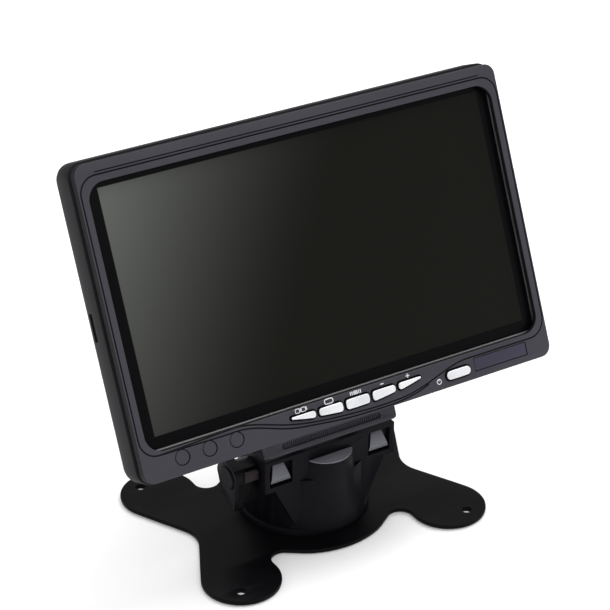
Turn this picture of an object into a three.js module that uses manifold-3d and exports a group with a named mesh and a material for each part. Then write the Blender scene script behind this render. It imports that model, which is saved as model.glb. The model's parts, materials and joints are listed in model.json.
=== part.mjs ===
// A seven inch rear-view monitor on a low stand that swivels and tilts.
// Millimetres, +Z up, the screen faces -Y, +X is the viewer's right. The origin lies on the
// swivel axis at the underside of the foot.
import * as THREE from 'three';
import { mergeVertices } from 'three/addons/utils/BufferGeometryUtils.js';
import Module from 'manifold-3d';

// ---------------------------------------------------------------- driving dimensions
// Clearances
const FIT = 0.3; // between parts that sit against or inside each other
const RUNNING = 0.3; // on the radius of a shaft in its hole
const OVERLAP = 0.6; // how far two halves of one moulding run into each other

// Foot
const PAD_T = 0.5;
const PLATE_T = 1.6;
const PAD_INSET = 1.4;
const LOBE_X = 45.3; // centre of each lobe's round end
const LOBE_Y = 32;
const LOBE_R = 14.8;
const WAIST_HALF = 47; // half the width of the foot at its waist
const WAIST_R = 12;
const BULGE_R = 34.3; // round front and back of the middle
const NOTCH_R = 5; // between the middle and a lobe
const FOOT_HOLE_OUT_X = 4.2; // from the lobe's centre
const FOOT_HOLE_OUT_Y = 7.1;
const FOOT_HOLE_R = 1.8;

// Turntable and swivel fastener
const TURNTABLE_LEDGE = 0.9; // how far it stands out round the drum
const TURNTABLE_T = 2.9;
const FRICTION_RING_T = 0.4;
const SWIVEL_SHANK_R = 2.5;
const SWIVEL_HEAD_R = 4.6;
const SWIVEL_HEAD_H = 2.2;
const DRIVE_SLOT_L = 6;
const DRIVE_SLOT_W = 1;
const DRIVE_SLOT_D = 0.8;
const SWIVEL_WASHER_R = 7;
const SWIVEL_WASHER_T = 1;
const SWIVEL_NUT_R = 4.6;
const SWIVEL_NUT_H = 4;
const THREAD_END = 1; // screw standing out past its nut

// Post
const DRUM_R = 24.5;
const DRUM_TOP = 26.4; // deck that closes the drum and floors the head
const POST_WALL = 2.3;
const FLOOR_T = 2.6;
const DECK_HOLE_R = 7.5;
const DECK_HOLE_Y = 4; // behind the head, over the swivel nut
const FRONT_INSET = 4.2; // from the drum's front tangent back to the flat front wall
const FAN_FOOT_HALF = 14.4; // half width of the flat wall at the drum's foot
const FAN_TOP_INSET = 3.6; // inside the head's sides
const NOSE_TOP_R = 10.3;
const NOSE_BELOW_HEAD = 4.5; // flat crescent top under the head's top edge
const NOSE_TOP_BACK = 4.3; // centre of the top circle behind the front wall
const NOSE_FOOT_R = 19;
const NOSE_FOOT_BACK = 11.3;
const NOSE_FLARE = 2.2; // how much the nose draws in below a straight cone half way up
const HEAD_HALF = 28;
const HEAD_HEIGHT = 12.1; // above the deck
const HEAD_DEPTH = 13.3;
const HEAD_LIP = 1.2; // how far the head hangs below the deck
const CHEEK_T = 1.6;
const WINDOW_W = 9.6;
const WINDOW_SILL = 0.8; // above the deck
const WINDOW_LINTEL = 1.5; // below the head's top edge

// Tilt hinge
const TILT = THREE.MathUtils.degToRad(24.1); // how far the screen leans back
const TILT_SHANK_R = 2.5;
const TILT_HEAD_R = 4;
const TILT_HEAD_H = 3.2;
const KNUCKLE_WALL = 1.4;
const KNUCKLE_CLEAR = 0.4; // between the knuckles and the deck
const WASHER_T = 0.6;
const EAR_T = 5;
const BOLT_ROOM = 8; // inside each cheek, for the bolt's head and a spanner
const CRADLE_EAR_T = 3;
const CRADLE_EAR_EDGE = 0.4; // cradle ears beyond the knuckles
const CRADLE_CHAMFER = 2.2;
const CRADLE_PLATE_T = 1.4;
const CRADLE_BEHIND = 1.1; // from the cradle's plate back to the knuckles
const CRADLE_LINK_H = 4;
const TAB_SIDE = 0.55; // snap tab to the window's sides, at its wide lower edge
const TAB_TAPER = 2.05;
const TAB_BELOW = 1.6; // window's lower edge to the tab
const TAB_ABOVE = 1.4;

// Bracket
const STRIP_INSET = 0.2; // plate inside the head's sides
const STRIP_CORNER = 1.2;
const BRACKET_T = 3.4;
const BRACKET_REACH = 11.2; // hinge axis to the back of the plate
const BRACKET_BOTTOM = 5; // hinge axis up to the plate's lower edge
const BRACKET_H = 50;
const EAR_FOOT_LOW = 17.5;
const EAR_FOOT_HIGH = 34;
const EAR_FOOT_R = 0.05;
const GRIP_HALF = 17;
const GRIP_H = 2.6;
const GRIP_DEPTH = 0.8;
const GRIP_BELOW_EDGE = 2.4; // under the monitor's lower edge

// Slide rail on the monitor's back
const RAIL_GAP = 3; // between the monitor's back and the bracket plate
const RAIL_NECK_HALF = 9;
const RAIL_WIDE_HALF = 12;
const RAIL_DEPTH = 2.4; // how deep the dovetail sits in the plate
const RAIL_BOTTOM = 3; // above the monitor's lower edge
const RAIL_LENGTH = 34;
const RAIL_SCREW_X = 5.5;
const RAIL_SCREW_INSET = 7;
const RAIL_SCREW_R = 1.5;
const RAIL_SCREW_HEAD_R = 2.8;
const RAIL_SCREW_GRIP = 2; // past the inside of the casing's back
const RAIL_BOSS_WALL = 1.9;

// Lock lever
const HUB_LENGTH = 6;
const HUB_REAR_SHARE = 1.05; // hub's rear edge behind the hinge axis, in shares of its radius
const HUB_WALL = 0.9; // round the nut's pocket
const PADDLE_T = 4;
const LEVER_CAP_R = 4.2;
const LEVER_CAP_T = 1.8;
const LEVER_CAP_PROUD = 0.6;
const LEVER_NUT_R = 4.2;
const LEVER_NUT_T = 4;

// Screen
const LCD_W = 164.9;
const LCD_H = 97;
const LCD_SIDE_LAP = 1.75; // panel hidden behind the bezel
const LCD_TOP_LAP = 3.7;
const LCD_BOTTOM_LAP = 0.7;
const LCD_CORNER = 0.8;
const GLASS_T = 1.5;
const LCD_WALL = 0.5;
const LCD_FRAME_D = 5.6;
const BACKLIGHT_T = 3;
const OPENING_CORNER = 5;
const OPENING_BEVEL = 1.5;

// Monitor casing, round the panel
const CHIN = 11.1; // below the panel, where the controls are
const PANEL_SIDE_GAP = 0.85; // panel to the bezel's skirt
const PANEL_TOP_GAP = 1.7;
const MONITOR_D = 20;
const HOUSING_CORNER = 5.5;
const HOUSING_WALL = 2;
const MOUTH_WALL = 1.6; // wall at the open edge, thinned for the bezel's skirt
const REAR_ROUND = 7; // depth over which the sides turn into the back
const REAR_DRAW_IN = 6.3; // how far they draw in over that depth
const BEZEL_INSET = 0.8; // the bezel face is this much smaller all round
const BEZEL_CORNER = 4.2;
const BEZEL_RIM_D = 3.2;
const SHADOW_GAP = 1;
const LIP_T = 2.1;
const RIM_WALL = 1.8;
const SKIRT_T = 1.3;
const SKIRT_END = 8; // how deep the skirt reaches behind the front face
const EDGE_ABOVE_HINGE = 14.8; // hinge axis up to the bezel's lower edge

// Front controls, on the chin
const BUTTON_W = 9.8;
const BUTTON_WEB = 1.4; // bezel between two buttons
const BUTTON_ROW_X = 0.6;
const BUTTON_TOP_Y = 7.6;
const BUTTON_LOW_Y = 3.9; // lowest point of the row's curved lower edge
const BUTTON_END_Y = 6.7; // the same edge at the ends of the row
const BUTTON_CORNER = 1.1;
const BUTTON_PROUD = 0.9;
const BUTTON_GAP = 0.25;
const BUTTON_FLANGE = 0.25; // beyond the gap, so that a button can't fall out
const BUTTON_FLANGE_T = 0.7;
const BUTTON_TRAVEL = 0.5;
const PLUNGER_R = 1.1;
const PLUNGER_L = 0.5;
const PLUNGER_Y = 5.4;
const POWER_FROM_SIDE = 42.5;
const POWER_Y = 4.3;
const POWER_W = 10.4;
const POWER_H = 3.2;
const PLUG_COUNT = 3;
const PLUG_FROM_SIDE = 16.4;
const PLUG_PITCH = 10.7;
const PLUG_Y = 6;
const PLUG_R = 2.6;
const PLUG_GAP = 0.2;
const IR_FROM_SIDE = 23.1;
const IR_Y = 5.1;
const IR_W = 23.2;
const IR_H = 4.6;
const IR_FLANGE = 0.7;
const SWITCH_W = 4.4;
const SWITCH_T = 1.7;
const KEY_BOARD_T = 1;
const KEY_BOARD_H = 6.6;
const KEY_BOARD_MARGIN = 4.3; // past the first button
const RECEIVER_HALF = 3.4;

// Inside and back of the casing
const BOARD_W = 108;
const BOARD_H = 56;
const BOARD_T = 1.6;
const BOARD_BELOW_TOP = 10.2; // board's top edge under the casing's
const BOARD_STANDOFF = 3; // above the inside of the back
const CASE_SCREW_FROM_SIDE = 6.9;
const CASE_SCREW_Y = 5.4;
const CASE_BOSS_R = 2.6;
const BOSS_END = 12; // where the housing's screw bosses meet the bezel's
const CASE_SCREW_R = 1.2;
const CASE_SCREW_HEAD_R = 2.4;
const CASE_SCREW_HEAD_H = 1.8;
const CASE_SEAT = 1.4; // screw seat above the inside of the back
const SIDE_SLOT_H = 10;
const SIDE_SLOT_W = 2.4;
const SIDE_SLOT_D = 1.1;
const VENT_COUNT = 9;
const VENT_PITCH = 5;
const VENT_W = 1.8;
const VENT_H = 16;
const VENT_FROM_SIDE = 38.5; // middle of each group
const VENT_FROM_TOP = 13.4;
const GLAND_FROM_SIDE = 40.5;
const GLAND_Y = 17;
const GLAND_R = 5;
const GLAND_BORE_R = 2.3;
const GLAND_PROUD = 5;

// ---------------------------------------------------------------- derived places
const PLATE_Z = PAD_T;
const TURNTABLE_Z = PLATE_Z + PLATE_T;
const RING_Z = TURNTABLE_Z + TURNTABLE_T;
const POST_Z = RING_Z + FRICTION_RING_T;
const FRONT_Y = FRONT_INSET - DRUM_R;
const HEAD_REAR_Y = FRONT_Y + HEAD_DEPTH;
const HEAD_TOP = DRUM_TOP + HEAD_HEIGHT;
const NOSE_TOP_Z = HEAD_TOP - NOSE_BELOW_HEAD;
const CHEEK_INNER = HEAD_HALF - CHEEK_T;
const WINDOW_OUTER = CHEEK_INNER - FIT;
const WINDOW_INNER = WINDOW_OUTER - WINDOW_W;
const WINDOW_Z0 = DRUM_TOP + WINDOW_SILL;
const WINDOW_Z1 = HEAD_TOP - WINDOW_LINTEL;
const KNUCKLE_R = TILT_SHANK_R + RUNNING + KNUCKLE_WALL;
const CRADLE_FRONT = FRONT_Y + POST_WALL + FIT;
const HINGE_Y = CRADLE_FRONT + CRADLE_PLATE_T + CRADLE_BEHIND + KNUCKLE_R;
const HINGE_Z = DRUM_TOP + KNUCKLE_R + KNUCKLE_CLEAR;
const CRADLE_EAR_X = CHEEK_INNER - BOLT_ROOM - CRADLE_EAR_T;
const EAR_OUTER = CRADLE_EAR_X - WASHER_T - 2 * FIT;
const EAR_INNER = EAR_OUTER - EAR_T;
const STRIP_HALF = HEAD_HALF - STRIP_INSET;
const PLATE_FRONT = BRACKET_REACH + BRACKET_T;
const FACE_Z = PLATE_FRONT + RAIL_GAP + MONITOR_D;
const SKIRT_OUTSIDE = MOUTH_WALL + FIT;
const MONITOR_W = LCD_W + 2 * (PANEL_SIDE_GAP + SKIRT_T + SKIRT_OUTSIDE);
const MONITOR_H = LCD_H + CHIN + PANEL_TOP_GAP + SKIRT_T + SKIRT_OUTSIDE;
const BEZEL_W = MONITOR_W - 2 * BEZEL_INSET;
const BEZEL_H = MONITOR_H - 2 * BEZEL_INSET;
const MID_Y = BEZEL_H / 2;
const SIDE_X = MONITOR_W / 2;
const TOP_Y = BEZEL_H + BEZEL_INSET;
const HOUSING_Z = -(BEZEL_RIM_D + SHADOW_GAP);
const BACK_INSIDE = -MONITOR_D + HOUSING_WALL;
const MOUTH_CORNER = HOUSING_CORNER - MOUTH_WALL / 2;
const SKIRT_W = MONITOR_W - 2 * SKIRT_OUTSIDE;
const SKIRT_H = MONITOR_H - 2 * SKIRT_OUTSIDE;
const SKIRT_INSIDE_Y = MID_Y - SKIRT_H / 2 + SKIRT_T;
const LCD_BOTTOM = CHIN - BEZEL_INSET;
const LCD_MID_Y = LCD_BOTTOM + LCD_H / 2;
const OPENING_W = LCD_W - 2 * LCD_SIDE_LAP;
const OPENING_H = LCD_H - LCD_TOP_LAP - LCD_BOTTOM_LAP;
const OPENING_Y = LCD_BOTTOM + LCD_BOTTOM_LAP + OPENING_H / 2;
const GLASS_Z = -(LIP_T + FIT);
const BOARD_Z = BACK_INSIDE + BOARD_STANDOFF;
const BOARD_Y = TOP_Y - BOARD_BELOW_TOP - BOARD_H;
const BUTTON_PITCH = BUTTON_W + BUTTON_WEB;
const BUTTON_X = [-2, -1, 0, 1, 2].map((place) => BUTTON_ROW_X + place * BUTTON_PITCH);
const POWER_X = SIDE_X - POWER_FROM_SIDE;
const PLUG_X = Array.from({ length: PLUG_COUNT }, (_, i) => PLUG_FROM_SIDE - SIDE_X + i * PLUG_PITCH);
const IR_X = SIDE_X - IR_FROM_SIDE;
const CASE_SCREW_X = SIDE_X - CASE_SCREW_FROM_SIDE;
const FLANGE_Z = -(LIP_T + FIT);
const PLUNGER_Z = FLANGE_Z - BUTTON_FLANGE_T - PLUNGER_L;
const SWITCH_Z = PLUNGER_Z - BUTTON_TRAVEL - FIT;
const KEY_BOARD_Z = SWITCH_Z - SWITCH_T;

// ---------------------------------------------------------------- finishes
const finish = (color, roughness, metalness = 0) =>
  new THREE.MeshStandardMaterial({ color, roughness, metalness });

const FINISH = {
  bezel: finish(0x3f3d46, 0.42),
  housing: finish(0x2b292c, 0.5),
  stand: finish(0x151419, 0.4),
  foot: finish(0x17161b, 0.38),
  bracket: finish(0x2c2b31, 0.45),
  foam: finish(0x101011, 0.95),
  button: finish(0xe4e5e8, 0.25),
  glass: finish(0x1a1b19, 0.08),
  lens: finish(0x1d1520, 0.12),
  steel: finish(0xa9abae, 0.3, 1),
  board: finish(0x1f5a38, 0.55),
  diffuser: finish(0xe9e9e4, 0.6),
  nylon: finish(0xd8d4c8, 0.5),
  component: finish(0x1b1b1d, 0.5),
  rubber: finish(0x121213, 0.8),
};

// ---------------------------------------------------------------- solids and shapes
const wasm = await Module();
wasm.setup();

// A closed three.js geometry as a solid that can be joined and cut.
function solid(geometry) {
  const bare = geometry.clone();
  bare.deleteAttribute('normal');
  bare.deleteAttribute('uv');
  const merged = mergeVertices(bare);
  return new wasm.Manifold(new wasm.Mesh({
    numProp: 3,
    vertProperties: new Float32Array(merged.attributes.position.array),
    triVerts: new Uint32Array(merged.index.array),
  }));
}

function geometryOf(body) {
  const mesh = body.getMesh();
  const geometry = new THREE.BufferGeometry();
  geometry.setAttribute('position', new THREE.BufferAttribute(mesh.vertProperties, 3));
  geometry.setIndex(new THREE.BufferAttribute(mesh.triVerts, 1));
  geometry.computeVertexNormals();
  return geometry;
}

const union = (...bodies) => bodies.reduce((sum, body) => sum.add(body));
const without = (body, ...cuts) => cuts.reduce((rest, cut) => rest.subtract(cut), body);

function block(x0, x1, y0, y1, z0, z1) {
  const box = new THREE.BoxGeometry(x1 - x0, y1 - y0, z1 - z0);
  return solid(box.translate((x0 + x1) / 2, (y0 + y1) / 2, (z0 + z1) / 2));
}

function prism(shape, z0, z1, curveSegments = 6) {
  const extruded = new THREE.ExtrudeGeometry(shape, { depth: z1 - z0, bevelEnabled: false, curveSegments });
  return solid(extruded.translate(0, 0, z0));
}

// The shape's own x and y lie along world Y and Z, and it runs from x0 to x1.
function prismX(shape, x0, x1, curveSegments = 6) {
  const extruded = new THREE.ExtrudeGeometry(shape, { depth: x1 - x0, bevelEnabled: false, curveSegments });
  const turn = new THREE.Matrix4().makeBasis(
    new THREE.Vector3(0, 1, 0), new THREE.Vector3(0, 0, 1), new THREE.Vector3(1, 0, 0));
  return solid(extruded.applyMatrix4(turn).translate(x0, 0, 0));
}

// The shape's own x and y lie along world X and Z, and it runs from y0 to y1.
function prismY(shape, y0, y1, curveSegments = 6) {
  const extruded = new THREE.ExtrudeGeometry(shape, { depth: y1 - y0, bevelEnabled: false, curveSegments });
  const turn = new THREE.Matrix4().makeBasis(
    new THREE.Vector3(1, 0, 0), new THREE.Vector3(0, 0, 1), new THREE.Vector3(0, -1, 0));
  return solid(extruded.applyMatrix4(turn).translate(0, y1, 0));
}

function discZ(radius, z0, z1, x = 0, y = 0, sides = 24) {
  const cylinder = new THREE.CylinderGeometry(radius, radius, z1 - z0, sides);
  return solid(cylinder.rotateX(Math.PI / 2).translate(x, y, (z0 + z1) / 2));
}

function discX(radius, x0, x1, y = 0, z = 0, sides = 24) {
  const cylinder = new THREE.CylinderGeometry(radius, radius, x1 - x0, sides);
  return solid(cylinder.rotateZ(Math.PI / 2).translate((x0 + x1) / 2, y, z));
}

function polygon(points) {
  return new THREE.Shape(points.map(([x, y]) => new THREE.Vector2(x, y)));
}

function roundedRectPoints(width, height, radius, x = 0, y = 0, steps = 5) {
  const points = [];
  const corners = [[1, -1, -0.5], [1, 1, 0], [-1, 1, 0.5], [-1, -1, 1]];
  for (const [sideX, sideY, start] of corners) {
    for (let i = 0; i <= steps; i += 1) {
      const angle = (start + (0.5 * i) / steps) * Math.PI;
      points.push(new THREE.Vector2(
        x + sideX * (width / 2 - radius) + radius * Math.cos(angle),
        y + sideY * (height / 2 - radius) + radius * Math.sin(angle)));
    }
  }
  return points;
}

const circleRing = (radius, z, x = 0, y = 0, sides = 20) =>
  ({ points: new THREE.EllipseCurve(x, y, radius, radius).getPoints(sides).slice(0, -1), z });

const roundedRect = (...size) => new THREE.Shape(roundedRectPoints(...size));

// A solid whose cross-section changes from ring to ring; every ring has as many points.
function loft(rings) {
  const count = rings[0].points.length;
  const positions = rings.flatMap(({ points, z }) => points.flatMap((p) => [p.x, p.y, z]));
  const index = [];
  for (let ring = 0; ring + 1 < rings.length; ring += 1) {
    for (let i = 0; i < count; i += 1) {
      const a = ring * count + i;
      const b = ring * count + ((i + 1) % count);
      index.push(a, b, b + count, a, b + count, a + count);
    }
  }
  const last = (rings.length - 1) * count;
  for (const [a, b, c] of THREE.ShapeUtils.triangulateShape(rings[0].points, [])) {
    index.push(c, b, a, last + a, last + b, last + c);
  }
  const geometry = new THREE.BufferGeometry();
  geometry.setAttribute('position', new THREE.Float32BufferAttribute(positions, 3));
  geometry.setIndex(index);
  return solid(geometry);
}

// An outline that wraps circles in turn, counter-clockwise: a convex circle is passed on its
// outside, a concave one on its inside, and straight tangents join them.
function belt(circles, stepAngle = 0.27) {
  const tangents = circles.map((from, i) => {
    const to = circles[(i + 1) % circles.length];
    const across = new THREE.Vector2(to.x - from.x, to.y - from.y);
    const signedFrom = from.concave ? -from.r : from.r;
    const signedTo = to.concave ? -to.r : to.r;
    const ratio = THREE.MathUtils.clamp((signedFrom - signedTo) / across.length(), -1, 1);
    return across.angle() - Math.acos(ratio);
  });
  const points = [];
  circles.forEach(({ x, y, r, concave }, i) => {
    const arriving = tangents[(i + circles.length - 1) % circles.length];
    const leaving = tangents[i];
    const full = 2 * Math.PI;
    const forward = (((leaving - arriving) % full) + full) % full;
    const sweep = concave ? forward - (forward > 0 ? full : 0) : forward;
    const steps = Math.max(1, Math.round(Math.abs(sweep) / stepAngle));
    const side = concave ? -r : r;
    for (let k = 0; k <= steps; k += 1) {
      const angle = arriving + (sweep * k) / steps;
      points.push(new THREE.Vector2(x + side * Math.cos(angle), y + side * Math.sin(angle)));
    }
  });
  return new THREE.Shape(points.filter((p, i) => p.distanceTo(points[(i + 1) % points.length]) > 0.02));
}

const root = new THREE.Group();
const stand = new THREE.Group();
const tilting = new THREE.Group(); // y along the screen's height, z out of the screen
tilting.position.set(0, HINGE_Y, HINGE_Z);
tilting.rotation.x = Math.PI / 2 - TILT;
const monitor = new THREE.Group(); // origin at the middle of the bezel's lower front edge
monitor.position.set(0, EDGE_ABOVE_HINGE, FACE_Z);
root.add(stand, tilting);
tilting.add(monitor);

function piece(group, name, body, material) {
  const mesh = new THREE.Mesh(geometryOf(body), material);
  mesh.name = name;
  group.add(mesh);
}

// ---------------------------------------------------------------- foot and turntable
// Four lobes, a waist on each side and a round middle, all joined by tangents.
function footOutline(inset) {
  const reach = Math.hypot(LOBE_X, LOBE_Y);
  const fromMiddle = BULGE_R + NOTCH_R;
  const fromLobe = LOBE_R + NOTCH_R;
  const along = (fromMiddle ** 2 - fromLobe ** 2 + reach ** 2) / (2 * reach);
  const aside = Math.sqrt(Math.max(fromMiddle ** 2 - along ** 2, 0));
  const notchX = (along * LOBE_X - aside * LOBE_Y) / reach;
  const notchY = (along * LOBE_Y + aside * LOBE_X) / reach;
  const waist = (side) => ({ x: side * (WAIST_HALF + WAIST_R), y: 0, r: WAIST_R + inset, concave: true });
  const lobe = (sideX, sideY) => ({ x: sideX * LOBE_X, y: sideY * LOBE_Y, r: LOBE_R - inset });
  const notch = (sideX, sideY) =>
    ({ x: sideX * notchX, y: sideY * notchY, r: NOTCH_R + inset, concave: true });
  const middle = { x: 0, y: 0, r: BULGE_R - inset };
  return belt([
    waist(1), lobe(1, 1), notch(1, 1), middle, notch(-1, 1), lobe(-1, 1),
    waist(-1), lobe(-1, -1), notch(-1, -1), middle, notch(1, -1), lobe(1, -1),
  ]);
}

function footHoles(z0, z1) {
  const holes = [];
  for (const sideX of [-1, 1]) {
    for (const sideY of [-1, 1]) {
      const x = sideX * (LOBE_X + FOOT_HOLE_OUT_X);
      const y = sideY * (LOBE_Y + FOOT_HOLE_OUT_Y);
      holes.push(discZ(FOOT_HOLE_R, z0, z1, x, y, 12));
    }
  }
  return holes;
}

function makeFoot() {
  const wellR = SWIVEL_HEAD_R + RUNNING;
  const pad = prism(footOutline(PAD_INSET), 0, PAD_T);
  const plate = prism(footOutline(0), PLATE_Z, TURNTABLE_Z);
  const holes = footHoles(-1, TURNTABLE_Z + 1);
  const well = discZ(wellR, -1, TURNTABLE_Z + 1);
  piece(root, 'grip_pad', without(pad, well, ...holes), FINISH.foam);
  piece(root, 'base_plate', without(plate, well, ...holes), FINISH.foot);

  const seatZ = PLATE_Z + SWIVEL_HEAD_H + FIT;
  const turntable = discZ(DRUM_R + TURNTABLE_LEDGE, TURNTABLE_Z, RING_Z, 0, 0, 48);
  const headPocket = discZ(wellR, TURNTABLE_Z - 1, seatZ);
  const shankHole = discZ(SWIVEL_SHANK_R + RUNNING, TURNTABLE_Z - 1, RING_Z + 1);
  piece(root, 'turntable_disc', without(turntable, headPocket, shankHole), FINISH.stand);

  const floorTop = POST_Z + FLOOR_T;
  const nutTop = floorTop + SWIVEL_WASHER_T + SWIVEL_NUT_H;
  const shank = discZ(SWIVEL_SHANK_R, PLATE_Z + DRIVE_SLOT_D, nutTop + THREAD_END, 0, 0, 20);
  const head = discZ(SWIVEL_HEAD_R, PLATE_Z, PLATE_Z + SWIVEL_HEAD_H);
  const driveSlot = block(-DRIVE_SLOT_L / 2, DRIVE_SLOT_L / 2, -DRIVE_SLOT_W / 2, DRIVE_SLOT_W / 2,
    PLATE_Z - 1, PLATE_Z + DRIVE_SLOT_D);
  piece(root, 'swivel_screw', without(union(head, shank), driveSlot), FINISH.steel);
}

function makeSwivelFastening() {
  const bore = SWIVEL_SHANK_R + RUNNING;
  const ring = discZ(DRUM_R - POST_WALL, RING_Z, POST_Z, 0, 0, 36);
  piece(root, 'friction_ring', without(ring, discZ(SWIVEL_WASHER_R, RING_Z - 1, POST_Z + 1)), FINISH.nylon);

  const washerZ = POST_Z + FLOOR_T;
  const nutZ = washerZ + SWIVEL_WASHER_T;
  const washer = discZ(SWIVEL_WASHER_R, washerZ, nutZ);
  const nut = discZ(SWIVEL_NUT_R, nutZ, nutZ + SWIVEL_NUT_H, 0, 0, 6);
  const hole = discZ(bore, washerZ - 1, nutZ + SWIVEL_NUT_H + 1, 0, 0, 20);
  piece(root, 'swivel_washer', without(washer, hole), FINISH.steel);
  piece(root, 'swivel_nut', without(nut, hole), FINISH.steel);
}

// ---------------------------------------------------------------- post
// The nose is a leaning cone with a slight flare, from the drum's foot up the front of the head.
function noseSolid(shrink, bottom, top) {
  const steps = 5;
  const rings = Array.from({ length: steps + 1 }, (_, i) => {
    const share = i / steps;
    const flare = NOSE_FLARE * 4 * share * (1 - share) ** 2;
    const radius = THREE.MathUtils.lerp(NOSE_FOOT_R, NOSE_TOP_R, share) - flare - shrink;
    const middleY = FRONT_Y + THREE.MathUtils.lerp(NOSE_FOOT_BACK, NOSE_TOP_BACK, share);
    return circleRing(radius, THREE.MathUtils.lerp(bottom, top, share), 0, middleY, 28);
  });
  return loft(rings);
}

function makePost() {
  const head = block(-HEAD_HALF, HEAD_HALF, FRONT_Y, HEAD_REAR_Y, DRUM_TOP - HEAD_LIP, HEAD_TOP);
  const drum = discZ(DRUM_R, POST_Z, DRUM_TOP, 0, 0, 56);
  const fan = prismY(polygon([
    [-FAN_FOOT_HALF, POST_Z], [FAN_FOOT_HALF, POST_Z],
    [HEAD_HALF - FAN_TOP_INSET, DRUM_TOP], [FAN_TOP_INSET - HEAD_HALF, DRUM_TOP],
  ]), FRONT_Y, HEAD_REAR_Y);
  const inFront = block(-HEAD_HALF, HEAD_HALF, 3 * FRONT_Y, FRONT_Y + POST_WALL, 0, HEAD_TOP);
  const nose = noseSolid(0, POST_Z, NOSE_TOP_Z).intersect(inFront);

  const floorTop = POST_Z + FLOOR_T;
  const roomTop = DRUM_TOP - POST_WALL;
  const drumRoom = discZ(DRUM_R - POST_WALL, floorTop, roomTop, 0, 0, 40);
  const noseRoom = noseSolid(POST_WALL, floorTop, NOSE_TOP_Z)
    .intersect(block(-DRUM_R, DRUM_R, 3 * FRONT_Y, 0, floorTop, roomTop));
  const deckHole = discZ(DECK_HOLE_R, floorTop, DRUM_TOP + 1, 0, DECK_HOLE_Y, 28);
  const headRoom = block(-CHEEK_INNER, CHEEK_INNER, FRONT_Y + POST_WALL, HEAD_REAR_Y + 1,
    DRUM_TOP, HEAD_TOP + 1);
  const screwHole = discZ(SWIVEL_SHANK_R + RUNNING, POST_Z - 1, floorTop + 1, 0, 0, 20);
  const boltHole = discX(TILT_SHANK_R + RUNNING, -HEAD_HALF - 1, -CHEEK_INNER + 1, HINGE_Y, HINGE_Z, 20);
  const windows = [-1, 1].map((side) => block(
    Math.min(side * WINDOW_INNER, side * WINDOW_OUTER), Math.max(side * WINDOW_INNER, side * WINDOW_OUTER),
    FRONT_Y - 1, FRONT_Y + POST_WALL + 1, WINDOW_Z0, WINDOW_Z1));
  const body = without(union(drum, fan, head, nose),
    drumRoom, noseRoom, deckHole, headRoom, screwHole, boltHole, ...windows);
  piece(stand, 'stand_post', body, FINISH.stand);
}

// The cradle drops into the head and holds the tilt bolt; its wedge tabs snap into the windows.
function cradleSide(side, z0, outer) {
  const x0 = Math.min(side * (WINDOW_INNER - FIT), side * outer);
  const x1 = Math.max(side * (WINDOW_INNER - FIT), side * outer);
  const plate = block(x0, x1, CRADLE_FRONT, CRADLE_FRONT + CRADLE_PLATE_T, z0, WINDOW_Z1 - FIT);
  const middle = (side * (WINDOW_INNER + WINDOW_OUTER)) / 2;
  const tabZ0 = WINDOW_Z0 + TAB_BELOW;
  const tabZ1 = WINDOW_Z1 - TAB_ABOVE;
  const lowHalf = WINDOW_W / 2 - TAB_SIDE;
  const highHalf = lowHalf - TAB_TAPER;
  const tab = prismY(polygon([
    [middle - lowHalf, tabZ0], [middle + lowHalf, tabZ0],
    [middle + highHalf, tabZ1], [middle - highHalf, tabZ1],
  ]), FRONT_Y + FIT, CRADLE_FRONT + OVERLAP);
  const slope = prismX(polygon([
    [FRONT_Y, tabZ0 + 1], [CRADLE_FRONT - FIT, tabZ1],
    [CRADLE_FRONT - FIT, tabZ1 + 1], [FRONT_Y, tabZ1 + 1],
  ]), x0 - 1, x1 + 1);
  const earX0 = side > 0 ? CRADLE_EAR_X : -CRADLE_EAR_X - CRADLE_EAR_T;
  const rear = HINGE_Y + KNUCKLE_R;
  const top = HINGE_Z + KNUCKLE_R + CRADLE_EAR_EDGE;
  const ear = prismX(polygon([
    [CRADLE_FRONT + FIT, z0], [rear, z0], [rear, top - CRADLE_CHAMFER], [rear - CRADLE_CHAMFER, top],
    [HINGE_Y - CRADLE_CHAMFER, top], [CRADLE_FRONT + FIT, HINGE_Z],
  ]), earX0, earX0 + CRADLE_EAR_T);
  return union(plate, without(tab, slope), ear);
}

function makeCradle() {
  const z0 = DRUM_TOP + FIT;
  const outer = CHEEK_INNER - FIT;
  const link = block(-outer, outer, CRADLE_FRONT, CRADLE_FRONT + CRADLE_PLATE_T, z0, z0 + CRADLE_LINK_H);
  const sides = [-1, 1].map((side) => cradleSide(side, z0, outer));
  const bolt = discX(TILT_SHANK_R + RUNNING, -HEAD_HALF, HEAD_HALF, HINGE_Y, HINGE_Z, 20);
  piece(stand, 'hinge_cradle', without(union(link, ...sides), bolt), FINISH.bracket);
}

// ---------------------------------------------------------------- tilt bolt and lock lever
// The lever's inner face clears the head's side, and the drum beside the hub's rear edge.
function leverSideX() {
  const hubRearY = Math.min(0, HINGE_Y + HUB_REAR_SHARE * (LEVER_NUT_R + FIT + HUB_WALL));
  const drumHalf = Math.sqrt(Math.max(0, DRUM_R ** 2 - hubRearY ** 2));
  return Math.max(HEAD_HALF, drumHalf);
}

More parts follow.
